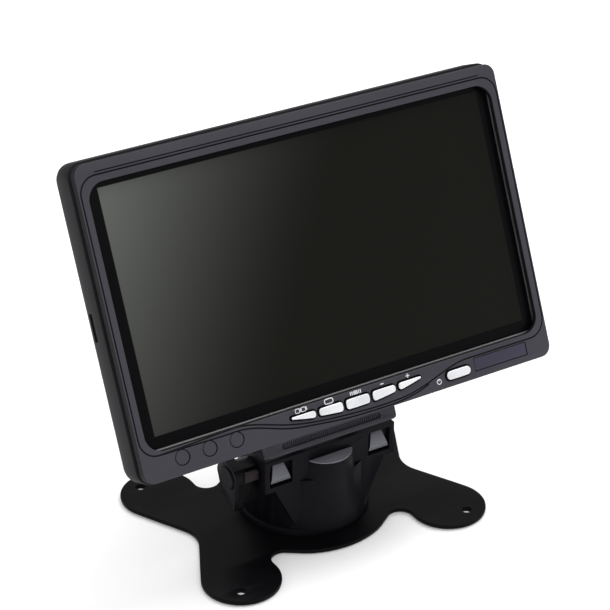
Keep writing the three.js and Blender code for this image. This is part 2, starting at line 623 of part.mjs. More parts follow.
function makeTiltBolt() {
  const cradleOuter = CRADLE_EAR_X + CRADLE_EAR_T;
  const headX = cradleOuter + FIT;
  const tip = -(leverSideX() + HUB_LENGTH);
  const shank = discX(TILT_SHANK_R, tip, headX + OVERLAP, HINGE_Y, HINGE_Z, 20);
  const head = discX(TILT_HEAD_R, headX, headX + TILT_HEAD_H, HINGE_Y, HINGE_Z, 6);
  piece(stand, 'tilt_bolt', union(shank, head), FINISH.steel);

  const bore = discX(TILT_SHANK_R + RUNNING, -HEAD_HALF, HEAD_HALF, HINGE_Y, HINGE_Z, 20);
  for (const [name, x0] of [['friction_washer_left', -EAR_OUTER - FIT - WASHER_T],
    ['friction_washer_right', EAR_OUTER + FIT]]) {
    const washer = discX(KNUCKLE_R, x0, x0 + WASHER_T, HINGE_Y, HINGE_Z);
    piece(stand, name, without(washer, bore), FINISH.nylon);
  }
}

// The lever is a hub with a finger paddle beyond it. Both outlines are drawn from the
// hinge axis and hang below it, with the paddle's tip at the front.
function leverHubOutline() {
  const wall = LEVER_NUT_R + FIT + HUB_WALL;
  const shares = [
    [-1, -1.75], [-0.6, -1.93], [0.45, -1.75], [1.04, -0.92], [HUB_REAR_SHARE, 0.22],
    [0.74, 0.78], [0.07, 1.01], [-0.72, 0.87], [-1.02, 0.13],
  ];
  return polygon(shares.map(([x, y]) => [x * wall, y * wall]));
}

function leverPaddleOutline() {
  return belt([
    { x: -3.4, y: 2.6, r: 2.1 },
    { x: 3, y: 3.2, r: 2.8 },
    { x: 5.6, y: -0.2, r: 2.8 },
    { x: 3.2, y: -7, r: 2.6 },
    { x: -3, y: -12, r: 1.1 },
  ].reverse(), 0.35);
}

function makeLockLever() {
  const lever = new THREE.Group();
  lever.position.set(0, HINGE_Y, HINGE_Z);
  stand.add(lever);
  const hubX1 = -(leverSideX() + FIT);
  const hubX0 = hubX1 - HUB_LENGTH;
  const paddleX0 = hubX0 - PADDLE_T;
  const hub = prismX(leverHubOutline(), hubX0 - OVERLAP, hubX1);
  const paddle = prismX(leverPaddleOutline(), paddleX0, hubX0);
  const nutPocket = discX(LEVER_NUT_R + FIT, hubX1 - LEVER_NUT_T - FIT, hubX1 + 1, 0, 0, 6);
  const shankHole = discX(TILT_SHANK_R + RUNNING, hubX0, hubX1 + 1, 0, 0, 20);
  const capPocket = discX(LEVER_CAP_R + FIT, paddleX0 - 1, paddleX0 + LEVER_CAP_T + FIT, 0, 0);
  const body = without(union(hub, paddle), nutPocket, shankHole, capPocket);
  piece(lever, 'tilt_lock_lever', body, FINISH.stand);

  const nut = discX(LEVER_NUT_R, hubX1 - LEVER_NUT_T, hubX1, 0, 0, 6);
  const nutBore = discX(TILT_SHANK_R + RUNNING, hubX1 - LEVER_NUT_T - 1, hubX1 + 1, 0, 0, 20);
  piece(lever, 'lever_nut', without(nut, nutBore), FINISH.steel);
  const cap = discX(LEVER_CAP_R, paddleX0 - LEVER_CAP_PROUD, paddleX0 + LEVER_CAP_T, 0, 0);
  piece(lever, 'lever_cap', cap, FINISH.stand);
}

// ---------------------------------------------------------------- bracket and slide rail
const dovetail = (neck, wide, z0, z1) => polygon([[-wide, z0], [wide, z0], [neck, z1], [-neck, z1]]);

function makeBracket() {
  const top = BRACKET_BOTTOM + BRACKET_H;
  const outline = roundedRect(2 * STRIP_HALF, BRACKET_H, STRIP_CORNER, 0, BRACKET_BOTTOM + BRACKET_H / 2, 2);
  const plate = prism(outline, BRACKET_REACH, PLATE_FRONT);
  const earShape = belt([
    { x: 0, y: 0, r: KNUCKLE_R },
    { x: EAR_FOOT_LOW, y: BRACKET_REACH + OVERLAP, r: EAR_FOOT_R },
    { x: EAR_FOOT_HIGH, y: BRACKET_REACH + OVERLAP, r: EAR_FOOT_R },
  ].reverse(), 0.3);
  const ears = [-EAR_OUTER, EAR_INNER].map((x0) => prismX(earShape, x0, x0 + EAR_T));
  const bolt = discX(TILT_SHANK_R + RUNNING, -STRIP_HALF, STRIP_HALF, 0, 0, 20);
  const slotBottom = EDGE_ABOVE_HINGE + RAIL_BOTTOM - FIT;
  const slotFloor = PLATE_FRONT - RAIL_DEPTH - FIT;
  const slotShape = dovetail(RAIL_NECK_HALF + FIT, RAIL_WIDE_HALF + 2 * FIT, slotFloor, PLATE_FRONT);
  const slot = prismY(slotShape, slotBottom, top + 1);
  const mouth = block(-RAIL_NECK_HALF - FIT, RAIL_NECK_HALF + FIT, slotBottom, top + 1,
    PLATE_FRONT - FIT, PLATE_FRONT + 1);
  const gripY = EDGE_ABOVE_HINGE - GRIP_H - GRIP_BELOW_EDGE;
  const grip = block(-GRIP_HALF, GRIP_HALF, gripY, gripY + GRIP_H, PLATE_FRONT - GRIP_DEPTH, PLATE_FRONT + 1);
  const body = without(union(plate, ...ears), bolt, slot, mouth, grip);
  piece(tilting, 'tilt_bracket', body, FINISH.bracket);
}

const railScrewPlaces = () => {
  const low = RAIL_BOTTOM + RAIL_SCREW_INSET;
  const high = RAIL_BOTTOM + RAIL_LENGTH - RAIL_SCREW_INSET;
  return [[-RAIL_SCREW_X, low], [RAIL_SCREW_X, low], [-RAIL_SCREW_X, high], [RAIL_SCREW_X, high]];
};

// A countersunk screw, or the hole for one when it is grown by a margin.
function railScrew(x, y, margin) {
  const headZ = -(MONITOR_D + RAIL_GAP + RAIL_DEPTH);
  const coneZ = headZ + RAIL_SCREW_HEAD_R - RAIL_SCREW_R;
  return loft([
    circleRing(RAIL_SCREW_HEAD_R + margin, headZ - margin, x, y, 16),
    circleRing(RAIL_SCREW_HEAD_R + margin, headZ + FIT, x, y, 16),
    circleRing(RAIL_SCREW_R + margin, coneZ + FIT + margin, x, y, 16),
    circleRing(RAIL_SCREW_R + margin, BACK_INSIDE + RAIL_SCREW_GRIP + margin, x, y, 16),
  ]);
}

function makeSlideRail() {
  const back = -MONITOR_D - FIT;
  const plateZ = -(MONITOR_D + RAIL_GAP);
  const y1 = RAIL_BOTTOM + RAIL_LENGTH;
  const neck = block(-RAIL_NECK_HALF, RAIL_NECK_HALF, RAIL_BOTTOM, y1, plateZ - OVERLAP, back);
  const tailShape = dovetail(RAIL_NECK_HALF, RAIL_WIDE_HALF, plateZ - RAIL_DEPTH, plateZ);
  const tail = prismY(tailShape, RAIL_BOTTOM, y1);
  const screws = railScrewPlaces();
  const holes = screws.map(([x, y]) => railScrew(x, y, FIT));
  piece(monitor, 'slide_rail', without(union(neck, tail), ...holes), FINISH.bracket);
  screws.forEach(([x, y], i) => piece(monitor, `rail_screw_${i + 1}`, railScrew(x, y, 0), FINISH.steel));
}

// ---------------------------------------------------------------- monitor casing
// Rounded outline of the casing at a given inset from its largest size.
const casingRing = (inset, corner, z) =>
  ({ points: roundedRectPoints(MONITOR_W - 2 * inset, MONITOR_H - 2 * inset, corner, 0, MID_Y), z });

// The casing's sides run straight, then turn into the back over a quarter ellipse.
function casingSolid(inset, backZ, frontZ) {
  const steps = 4;
  const corner = HOUSING_CORNER - inset / 2;
  const rings = Array.from({ length: steps + 1 }, (_, i) => {
    const angle = (Math.PI / 2) * (1 - i / steps);
    const drawnIn = REAR_DRAW_IN * (1 - Math.cos(angle));
    const z = backZ + REAR_ROUND * (1 - Math.sin(angle));
    return casingRing(inset + drawnIn, corner + drawnIn * 0.4, z);
  });
  return loft([...rings, casingRing(inset, corner, frontZ)]);
}

function casingCuts() {
  const cuts = railScrewPlaces().map(([x, y]) => railScrew(x, y, FIT));
  const below = -MONITOR_D - 1;
  for (const side of [-1, 1]) {
    const screwX = side * CASE_SCREW_X;
    cuts.push(discZ(CASE_SCREW_R + FIT, below, 0, screwX, CASE_SCREW_Y, 12));
    cuts.push(discZ(CASE_SCREW_HEAD_R + FIT, below, BACK_INSIDE + CASE_SEAT, screwX, CASE_SCREW_Y, 16));
    const slotZ = -MONITOR_D + REAR_ROUND;
    cuts.push(block(side * SIDE_X - SIDE_SLOT_D, side * SIDE_X + SIDE_SLOT_D,
      MID_Y + BEZEL_INSET - SIDE_SLOT_H / 2, MID_Y + BEZEL_INSET + SIDE_SLOT_H / 2,
      slotZ, slotZ + SIDE_SLOT_W));
    for (let i = 0; i < VENT_COUNT; i += 1) {
      const x = side * (SIDE_X - VENT_FROM_SIDE) + (i - (VENT_COUNT - 1) / 2) * VENT_PITCH;
      const y1 = TOP_Y - VENT_FROM_TOP;
      cuts.push(block(x - VENT_W / 2, x + VENT_W / 2, y1 - VENT_H, y1, below, BACK_INSIDE + OVERLAP));
    }
  }
  cuts.push(discZ(GLAND_R - 1 + FIT, below, BACK_INSIDE + 1, GLAND_FROM_SIDE - SIDE_X, GLAND_Y, 20));
  return cuts;
}

function makeRearHousing() {
  const outer = casingSolid(0, -MONITOR_D, HOUSING_Z);
  const room = casingSolid(HOUSING_WALL, BACK_INSIDE, HOUSING_Z + 1);
  const mouth = loft([
    casingRing(MOUTH_WALL, MOUTH_CORNER, HOUSING_Z - SKIRT_END),
    casingRing(MOUTH_WALL, MOUTH_CORNER, HOUSING_Z + 1),
  ]);
  const bossBottom = BACK_INSIDE - OVERLAP;
  const railBosses = railScrewPlaces().map(([x, y]) => discZ(
    RAIL_SCREW_R + RAIL_BOSS_WALL, bossBottom, BACK_INSIDE + RAIL_SCREW_GRIP + OVERLAP, x, y, 14));
  const bossTop = -BOSS_END;
  const caseBosses = [-1, 1].map((side) =>
    discZ(CASE_BOSS_R, bossBottom, bossTop, side * CASE_SCREW_X, CASE_SCREW_Y, 14).intersect(outer));
  const shell = union(without(outer, room, mouth), ...railBosses, ...caseBosses);
  piece(monitor, 'rear_housing', without(shell, ...casingCuts()), FINISH.housing);
}

// Lower edge of the button row at a given x: a shallow arc that rises towards both ends.
function rowEdge(x) {
  const half = 2 * BUTTON_PITCH + BUTTON_W / 2;
  const share = (x - BUTTON_ROW_X) / half;
  return BUTTON_LOW_Y + (BUTTON_END_Y - BUTTON_LOW_Y) * share * share;
}

// A button's outline: straight top, curved bottom edge, round corners, grown by a margin.
function buttonOutline(middle, margin) {
  const x0 = middle - BUTTON_W / 2;
  const x1 = middle + BUTTON_W / 2;
  const leftH = BUTTON_TOP_Y - rowEdge(x0);
  const rightH = BUTTON_TOP_Y - rowEdge(x1);
  const leftR = Math.min(BUTTON_CORNER, 0.45 * leftH);
  const rightR = Math.min(BUTTON_CORNER, 0.45 * rightH);
  return belt([
    { x: x0 + leftR, y: BUTTON_TOP_Y - leftR, r: leftR + margin },
    { x: x0 + leftR, y: rowEdge(x0) + leftR, r: leftR + margin },
    { x: x1 - rightR, y: rowEdge(x1) + rightR, r: rightR + margin },
    { x: x1 - rightR, y: BUTTON_TOP_Y - rightR, r: rightR + margin },
  ], 0.55);
}

const powerOutline = (margin) => roundedRect(
  POWER_W + 2 * margin, POWER_H + 2 * margin, POWER_H / 2 + margin - 0.05, POWER_X, POWER_Y, 3);

const ROW_NAMES = ['mode', 'source', 'menu', 'minus', 'plus'];
const CONTROLS = [
  ...ROW_NAMES.map((name, i) => ({
    name, middle: BUTTON_X[i], outline: (margin) => buttonOutline(BUTTON_X[i], margin),
  })),
  { name: 'power', middle: POWER_X, outline: powerOutline },
];

// The opening's rim slopes inwards; it is cut a little past the face so that it breaks through.
function openingBevel() {
  const rims = [[-OPENING_BEVEL, 0], [0, OPENING_BEVEL], [FIT, OPENING_BEVEL + FIT]];
  return loft(rims.map(([z, grow]) => ({
    points: roundedRectPoints(OPENING_W + 2 * grow, OPENING_H + grow, OPENING_CORNER + grow, 0, OPENING_Y),
    z,
  })));
}

function bezelCuts() {
  const below = -LIP_T - 1;
  const opening = roundedRect(OPENING_W, OPENING_H, OPENING_CORNER, 0, OPENING_Y);
  const halfW = IR_W / 2 + PLUG_GAP;
  const halfH = IR_H / 2 + PLUG_GAP;
  const cuts = [
    prism(opening, below, 1),
    openingBevel(),
    block(IR_X - halfW, IR_X + halfW, IR_Y - halfH, IR_Y + halfH, below, 1),
  ];
  for (const { outline } of CONTROLS) cuts.push(prism(outline(BUTTON_GAP), below, 1));
  for (const x of PLUG_X) cuts.push(discZ(PLUG_R + PLUG_GAP, below, 1, x, PLUG_Y, 20));
  for (const side of [-1, 1]) {
    const screwX = side * CASE_SCREW_X;
    cuts.push(discZ(CASE_SCREW_R + FIT, -BOSS_END, -LIP_T, screwX, CASE_SCREW_Y, 12));
  }
  return cuts;
}

function makeFrontBezel() {
  const face = (inset, corner) => roundedRect(BEZEL_W - 2 * inset, BEZEL_H - 2 * inset, corner, 0, MID_Y);
  const skirt = (inset) =>
    roundedRect(SKIRT_W - 2 * inset, SKIRT_H - 2 * inset, MOUTH_CORNER - inset, 0, MID_Y);
  const buried = OVERLAP - LIP_T;
  const plate = prism(face(0, BEZEL_CORNER), -LIP_T, 0);
  const rim = without(prism(face(0, BEZEL_CORNER), -BEZEL_RIM_D, buried),
    prism(face(RIM_WALL, BEZEL_CORNER - 1), -BEZEL_RIM_D - 1, -LIP_T));
  const skirtWall = without(prism(skirt(0), -SKIRT_END, buried),
    prism(skirt(SKIRT_T), -SKIRT_END - 1, -LIP_T));
  const bosses = [-1, 1].map((side) =>
    discZ(CASE_BOSS_R, 2 * FIT - BOSS_END, buried, side * CASE_SCREW_X, CASE_SCREW_Y, 14));
  const body = without(union(plate, rim, skirtWall, ...bosses), ...bezelCuts());
  piece(monitor, 'front_bezel', body, FINISH.bezel);
}

function makeCaseScrews() {
  const seat = BACK_INSIDE + CASE_SEAT - FIT;
  for (const [side, word] of [[-1, 'left'], [1, 'right']]) {
    const x = side * CASE_SCREW_X;
    const head = discZ(CASE_SCREW_HEAD_R, seat - CASE_SCREW_HEAD_H, seat, x, CASE_SCREW_Y, 16);
    const shank = discZ(CASE_SCREW_R, seat - OVERLAP, -LIP_T - FIT, x, CASE_SCREW_Y, 12);
    piece(monitor, `case_screw_${word}`, union(head, shank), FINISH.steel);
  }
}

// ---------------------------------------------------------------- screen stack
function makeScreen() {
  const rect = (inset) => roundedRect(LCD_W - 2 * inset, LCD_H - 2 * inset, LCD_CORNER, 0, LCD_MID_Y, 2);
  const inner = rect(LCD_WALL + FIT);
  piece(monitor, 'lcd_panel', prism(inner, GLASS_Z - GLASS_T, GLASS_Z), FINISH.glass);
  const frameBack = GLASS_Z - LCD_FRAME_D;
  const tray = without(prism(rect(0), frameBack, GLASS_Z),
    prism(rect(LCD_WALL), frameBack + LCD_WALL, GLASS_Z + 1));
  piece(monitor, 'lcd_frame', tray, FINISH.steel);
  const lightZ = GLASS_Z - GLASS_T - FIT;
  piece(monitor, 'backlight_unit', prism(inner, lightZ - BACKLIGHT_T, lightZ), FINISH.diffuser);
}

// ---------------------------------------------------------------- controls and electronics
// Each key has a cap, a flange that holds it behind the bezel and a plunger over its switch.
function makeKeys() {
  const behindLip = block(-MONITOR_W, MONITOR_W, SKIRT_INSIDE_Y + FIT, LCD_BOTTOM - FIT, -MONITOR_D, 0);
  const half = SWITCH_W / 2;
  for (const { name, middle, outline } of CONTROLS) {
    const cap = prism(outline(0), FLANGE_Z - FIT, BUTTON_PROUD);
    const flange = prism(outline(BUTTON_GAP + BUTTON_FLANGE), FLANGE_Z - BUTTON_FLANGE_T, FLANGE_Z);
    const plunger = discZ(PLUNGER_R, PLUNGER_Z, FLANGE_Z - FIT, middle, PLUNGER_Y, 12);
    piece(monitor, `${name}_button`, union(cap, flange.intersect(behindLip), plunger), FINISH.button);
    const can = block(middle - half, middle + half, PLUNGER_Y - half, PLUNGER_Y + half,
      KEY_BOARD_Z + FIT, SWITCH_Z - OVERLAP);
    const stem = discZ(PLUNGER_R, SWITCH_Z - 2 * OVERLAP, SWITCH_Z, middle, PLUNGER_Y, 12);
    piece(monitor, `${name}_switch`, union(can, stem), FINISH.component);
  }
}

function makeBlankPlugs() {
  const flangeZ = FLANGE_Z - BUTTON_FLANGE_T;
  PLUG_X.forEach((x, i) => {
    const front = discZ(PLUG_R, flangeZ, -0.1, x, PLUG_Y, 20);
    const flange = discZ(PLUG_R + 2 * PLUG_GAP + BUTTON_FLANGE, flangeZ, FLANGE_Z, x, PLUG_Y, 20);
    piece(monitor, `blank_plug_${i + 1}`, union(front, flange), FINISH.bezel);
  });
}

function makeInfrared() {
  const y0 = IR_Y - IR_H / 2;
  const y1 = IR_Y + IR_H / 2;
  const lens = block(IR_X - IR_W / 2, IR_X + IR_W / 2, y0, y1, FLANGE_Z - FIT, -PLUG_GAP);
  const flangeHalf = IR_W / 2 + IR_FLANGE;
  const flange = block(IR_X - flangeHalf, IR_X + flangeHalf, y0, y1, FLANGE_Z - BUTTON_FLANGE_T, FLANGE_Z);
  piece(monitor, 'ir_window', union(lens, flange), FINISH.lens);
  const faceZ = FLANGE_Z - BUTTON_FLANGE_T - FIT;
  const body = block(IR_X - RECEIVER_HALF, IR_X + RECEIVER_HALF, y0, y1, KEY_BOARD_Z + FIT, faceZ);
  piece(monitor, 'ir_receiver', body, FINISH.component);
}

function makeKeyBoard() {
  const x0 = BUTTON_X[0] - BUTTON_W / 2 - KEY_BOARD_MARGIN;
  const x1 = IR_X + 2 * RECEIVER_HALF;
  const y0 = SKIRT_INSIDE_Y + FIT;
  const board = block(x0, x1, y0, y0 + KEY_BOARD_H, KEY_BOARD_Z - KEY_BOARD_T, KEY_BOARD_Z);
  piece(monitor, 'key_board', board, FINISH.board);
}

// The main board carries its parts on the side that faces the back of the casing.
function makeMainBoard() {
  const half = BOARD_W / 2;
  const y1 = BOARD_Y + BOARD_H;
  const top = BOARD_Z + BOARD_T;
  const holeInset = 4;
  const holes = [-1, 1].flatMap((side) => [BOARD_Y + holeInset, y1 - holeInset].map((y) =>
    discZ(RAIL_SCREW_R, BOARD_Z - 1, top + 1, side * (half - holeInset), y, 12)));
  const board = block(-half, half, BOARD_Y, y1, BOARD_Z, top);
  piece(monitor, 'main_board', without(board, ...holes), FINISH.board);

  const partTop = BOARD_Z - FIT;
  const partBottom = BACK_INSIDE + 2 * FIT;
  const onBoard = (name, x, up, width, height, material) => {
    const y = BOARD_Y + up;
    const body = block(x - width / 2, x + width / 2, y - height / 2, y + height / 2, partBottom, partTop);
    piece(monitor, name, body, material);
  };
  onBoard('video_chip', 8, 30, 16, 16, FINISH.component);
  onBoard('power_coil', -34, 18, 12, 12, FINISH.component);
  onBoard('cable_header', -46, 40, 6, 18, FINISH.nylon);

  const ribbonZ = top + FIT;
  const ribbon = block(-34, -14, LCD_BOTTOM + 2, BOARD_Y + 14, ribbonZ, ribbonZ + 0.4);
  piece(monitor, 'ribbon_cable', ribbon, FINISH.nylon);
}

// Only the gland where the lead would leave the casing.
function makeCableGland() {
  const back = -MONITOR_D;
  const x = GLAND_FROM_SIDE - SIDE_X;
  const neckR = GLAND_R - 1;
  const neck = discZ(neckR, back - OVERLAP, BACK_INSIDE + FIT, x, GLAND_Y, 20);
  const collar = loft([
    circleRing(neckR - OVERLAP, back - GLAND_PROUD, x, GLAND_Y),
    circleRing(neckR, back - GLAND_PROUD + 1, x, GLAND_Y),
    circleRing(GLAND_R, back - 1, x, GLAND_Y),
    circleRing(GLAND_R, back - FIT, x, GLAND_Y),
  ]);
  const bore = discZ(GLAND_BORE_R, back - GLAND_PROUD - 1, BACK_INSIDE + 1, x, GLAND_Y, 16);
  piece(monitor, 'cable_gland', without(union(neck, collar), bore), FINISH.rubber);
}

makeFoot();
makeSwivelFastening();
makePost();
makeCradle();
makeTiltBolt();
makeLockLever();
makeBracket();
makeSlideRail();
makeRearHousing();
makeFrontBezel();
makeCaseScrews();
makeScreen();
makeKeys();
makeBlankPlugs();
makeInfrared();
makeKeyBoard();
makeMainBoard();
makeCableGland();

export default root;
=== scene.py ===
# %% [markdown]
# # A seven inch monitor on a swivel stand
# The object is a flat screen for a vehicle's dashboard: a front bezel and a rear
# housing round the panel, a tilting bracket, a moulded post that turns on a wide
# thin foot, and a lever that locks the tilt. The solid model is loaded as a fixed
# frame. Each piece here is fitted to it and given rounded edges and a finish.

import json
import math

import bmesh
import bpy
from mathutils import Matrix, Vector

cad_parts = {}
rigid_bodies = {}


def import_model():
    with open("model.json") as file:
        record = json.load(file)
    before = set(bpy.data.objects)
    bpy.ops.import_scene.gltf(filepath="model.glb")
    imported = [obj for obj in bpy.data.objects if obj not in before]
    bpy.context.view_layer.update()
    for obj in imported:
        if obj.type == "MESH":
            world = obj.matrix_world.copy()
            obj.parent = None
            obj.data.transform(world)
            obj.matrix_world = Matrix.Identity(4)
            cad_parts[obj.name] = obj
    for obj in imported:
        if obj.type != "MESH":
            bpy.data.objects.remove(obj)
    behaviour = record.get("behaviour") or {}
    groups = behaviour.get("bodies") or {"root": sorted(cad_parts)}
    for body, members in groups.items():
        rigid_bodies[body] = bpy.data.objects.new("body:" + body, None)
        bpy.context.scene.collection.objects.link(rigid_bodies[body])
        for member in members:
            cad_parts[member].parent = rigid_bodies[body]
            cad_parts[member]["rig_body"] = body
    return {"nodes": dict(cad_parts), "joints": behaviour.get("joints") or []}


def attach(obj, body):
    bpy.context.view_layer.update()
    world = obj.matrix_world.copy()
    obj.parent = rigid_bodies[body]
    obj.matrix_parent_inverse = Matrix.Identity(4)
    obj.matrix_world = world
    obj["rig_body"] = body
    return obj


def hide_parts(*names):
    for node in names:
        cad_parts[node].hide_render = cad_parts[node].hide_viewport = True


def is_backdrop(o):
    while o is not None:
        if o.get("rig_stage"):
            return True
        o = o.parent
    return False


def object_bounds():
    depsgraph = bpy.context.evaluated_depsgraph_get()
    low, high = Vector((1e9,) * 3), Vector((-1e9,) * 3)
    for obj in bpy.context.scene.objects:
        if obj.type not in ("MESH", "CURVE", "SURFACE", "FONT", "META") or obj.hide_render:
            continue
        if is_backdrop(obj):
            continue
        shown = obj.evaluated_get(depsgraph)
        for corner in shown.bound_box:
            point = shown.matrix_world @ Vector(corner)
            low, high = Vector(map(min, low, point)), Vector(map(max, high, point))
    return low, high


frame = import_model()
start_low, start_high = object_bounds()
MM = 0.001
print("pieces in the frame:", len(frame["nodes"]))
print("size in mm:", [round(s / MM, 1) for s in start_high - start_low])

# %% [markdown]
# ## Two sets of axes
# The screen leans back, so a shape drawn flat on its face is easier to draw in axes
# that lean with it. The keys press straight into the face, so the axis of any key's
# joint gives the direction. The other two follow from cross products, which is
# safer than typing an angle in a second place.

# %% Axes of the stand and of the screen
PRESS = next(j["axis"] for j in frame["joints"] if j["name"] == "mode_press")
OUT = -Vector(PRESS).normalized()
RIGHT = Vector((1, 0, 0))
UP = OUT.cross(RIGHT)
LEAN = Matrix((RIGHT, UP, OUT))
STAND = Matrix.Scale(MM, 4)


def span(node, place):
    """Lowest and highest corner of a node in a place's own axes, in millimetres."""
    inverse = place.inverted()
    points = [inverse @ v.co for v in frame["nodes"][node].data.vertices]
    low = Vector([min(p[i] for p in points) for i in range(3)])
    high = Vector([max(p[i] for p in points) for i in range(3)])
    return low, high


UPRIGHT = LEAN.transposed().to_4x4() @ Matrix.Scale(MM, 4)
face_low, face_high = span("front_bezel", UPRIGHT)
CORNER = Vector((0, face_low.y, face_high.z))
SCREEN = UPRIGHT @ Matrix.Translation(CORNER)
face_low, face_high = span("front_bezel", SCREEN)
print("lean in degrees:", round(math.degrees(math.asin(OUT.z)), 1))
print("bezel in mm:", [round(s, 1) for s in face_high - face_low])

# %% [markdown]
# ## Outlines that come from the frame
# A piece that is drawn again beside the frame soon stops fitting it. Here an outline
# is read off a flat face of the solid: the edges that only one of its triangles
# uses are the rim, and they are chained into loops. The solid's arcs are made of
# short straight steps, so each loop is then redrawn through the same points with a
# cubic curve, which leaves the corners sharp and the straight sides straight.

# %% Read an outline off a flat face


def flat_loops(node, place, level):
    """Closed loops round the flat face at a height, the longest first."""
    mesh = frame["nodes"][node].data
    inverse = place.inverted()
    spots = [inverse @ v.co for v in mesh.vertices]
    key = [tuple(round(c, 2) for c in p) for p in spots]
    used = {}
    for face in mesh.polygons:
        if all(abs(spots[i].z - level) < 0.01 for i in face.vertices):
            ring = [key[i] for i in face.vertices]
            for a, b in zip(ring, ring[1:] + ring[:1]):
                used[(a, b)] = True
    following = {a: b for a, b in used if (b, a) not in used}
    loops = []
    while following:
        first = next(iter(following))
        loop = [first]
        while loop[-1] in following:
            after = following.pop(loop[-1])
            if after == first:
                break
            loop.append(after)
        loops.append([Vector(p[:2]) for p in loop])
    return sorted(loops, key=lambda p: -loop_length(p))


def loop_length(points):
    return sum((b - a).length for a, b in zip(points, points[1:] + points[:1]))


foot_face = flat_loops("base_plate", STAND, span("base_plate", STAND)[1].z)
print("length round the foot in mm:", round(loop_length(foot_face[0])))

# %% Smooth an outline and grow it


def smooth_loop(points, parts=3, sharp=35):
    """The same closed loop through the same points, with its arcs rounded."""
    count = len(points)
    sides = [points[(i + 1) % count] - points[i] for i in range(count)]
    smooth = []
    for i, side in enumerate(sides):
        before, after = sides[i - 1], sides[(i + 1) % count]
        start = side if before.angle(side) > math.radians(sharp) else before + side
        end = side if side.angle(after) > math.radians(sharp) else side + after
        start = start.normalized() * side.length
        end = end.normalized() * side.length
        steps = parts if side.angle(start) + side.angle(end) > 0.01 else 1
        for step in range(steps):
            t = step / steps
            smooth.append(
                points[i] * (2 * t**3 - 3 * t**2 + 1)
                + start * (t**3 - 2 * t**2 + t)
                + points[(i + 1) % count] * (3 * t**2 - 2 * t**3)
                + end * (t**3 - t**2)
            )
    return smooth


def grown(points, margin):
    """A closed outline moved outwards by a margin."""
    area = sum(a.cross(b) for a, b in zip(points, points[1:] + points[:1]))
    turn = math.copysign(margin, area)
    moved = []
    for i, point in enumerate(points):
        before = (point - points[i - 1]).normalized()
        after = (points[(i + 1) % len(points)] - point).normalized()
        across = Vector((before.y + after.y, -before.x - after.x)).normalized()
        square = max(0.5, across.dot(Vector((after.y, -after.x))))
        moved.append(point + across * turn / square)
    return moved


foot_loops = [smooth_loop(p) for p in foot_face]
print("foot outline and holes, in points:", [len(p) for p in foot_loops])

# %% Rectangle with round corners


def rounded_rect(low, high, radius, steps=8):
    """A rectangle with round corners between two corners, anticlockwise."""
    points = []
    for quarter, (x, y) in enumerate(
        [(high.x, high.y), (low.x, high.y), (low.x, low.y), (high.x, low.y)]
    ):
        inward = Vector((-1 if x == high.x else 1, -1 if y == high.y else 1))
        middle = Vector((x, y)) + inward * radius
        for step in range(steps + 1):
            angle = math.pi / 2 * (quarter + step / steps)
            points.append(middle + radius * Vector((math.cos(angle), math.sin(angle))))
    return points


def rect_about(x, y, wide, high, radius, steps):
    """The same rectangle from its middle and its size."""
    middle, corner = Vector((x, y)), Vector((wide, high)) / 2
    return rounded_rect(middle - corner, middle + corner, radius, steps)


print("points in a rounded rectangle:", len(rect_about(0, 0, 4, 3, 1, 8)))

# %% [markdown]
# ## Turning outlines into plates
# A filled flat curve is the quickest honest way to a plate with holes: its bevel
# rounds the outer edge and the rim of every hole in one go, which is what a
# moulding tool leaves. The curve is turned into a mesh at once, and points that lie
# on each other are merged, so that nothing live is left on a finished piece.

# %% Keep the mesh that an object ends with


def welded(mesh, reach=0.002):
    """Points that lie on each other become one, and the faces point outwards."""
    bm = bmesh.new()
    bm.from_mesh(mesh)
    bmesh.ops.remove_doubles(bm, verts=bm.verts, dist=reach)
    bmesh.ops.dissolve_degenerate(bm, edges=bm.edges, dist=reach / 4)
    bmesh.ops.recalc_face_normals(bm, faces=bm.faces)
    bm.to_mesh(mesh)
    bm.free()
    return mesh


def baked(obj):
    """The mesh an object has after its modifiers. The object is then removed."""
    bpy.context.scene.collection.objects.link(obj)
    bpy.context.view_layer.update()
    shown = obj.evaluated_get(bpy.context.evaluated_depsgraph_get())
    mesh = bpy.data.meshes.new_from_object(shown)
    bpy.data.objects.remove(obj)
    return welded(mesh)


# %% Plates
SHARP = 0.01


def plate(loops, bottom, top, edge):
    """A flat plate with holes. The size of edge rounds its rims, SHARP hardly does."""
    curve = bpy.data.curves.new("plate", "CURVE")
    curve.dimensions = "2D"
    curve.fill_mode = "BOTH"
    curve.extrude = (top - bottom) / 2 - edge
    curve.bevel_depth = edge
    curve.bevel_resolution = 2
    curve.offset = -edge
    for points in loops:
        spline = curve.splines.new("POLY")
        spline.points.add(len(points) - 1)
        for spot, point in zip(spline.points, points):
            spot.co = (point.x, point.y, 0, 1)
        spline.use_cyclic_u = True
    mesh = baked(bpy.data.objects.new("plate", curve))
    mesh.transform(Matrix.Translation((0, 0, (top + bottom) / 2)))
    return mesh


def circle(radius, x=0, y=0, sides=48):
    turns = [2 * math.pi * i / sides for i in range(sides)]
    return [Vector((x + radius * math.cos(t), y + radius * math.sin(t))) for t in turns]


print("a rounded test plate has", len(plate([circle(5)], 0, 2, 0.4).vertices), "points")

# %% [markdown]
# ## Lofts and turned bodies
# A loft joins rings of the same number of points, for shapes that change on the
# way. A turned body, like one from a lathe, is a loft too: its rings are circles.
# Where the last ring meets the first again, the loft is a closed ring with a hole,
# and it needs no caps.

# %% Lofts


def at_height(points, z):
    return [Vector((p.x, p.y, z)) for p in points]


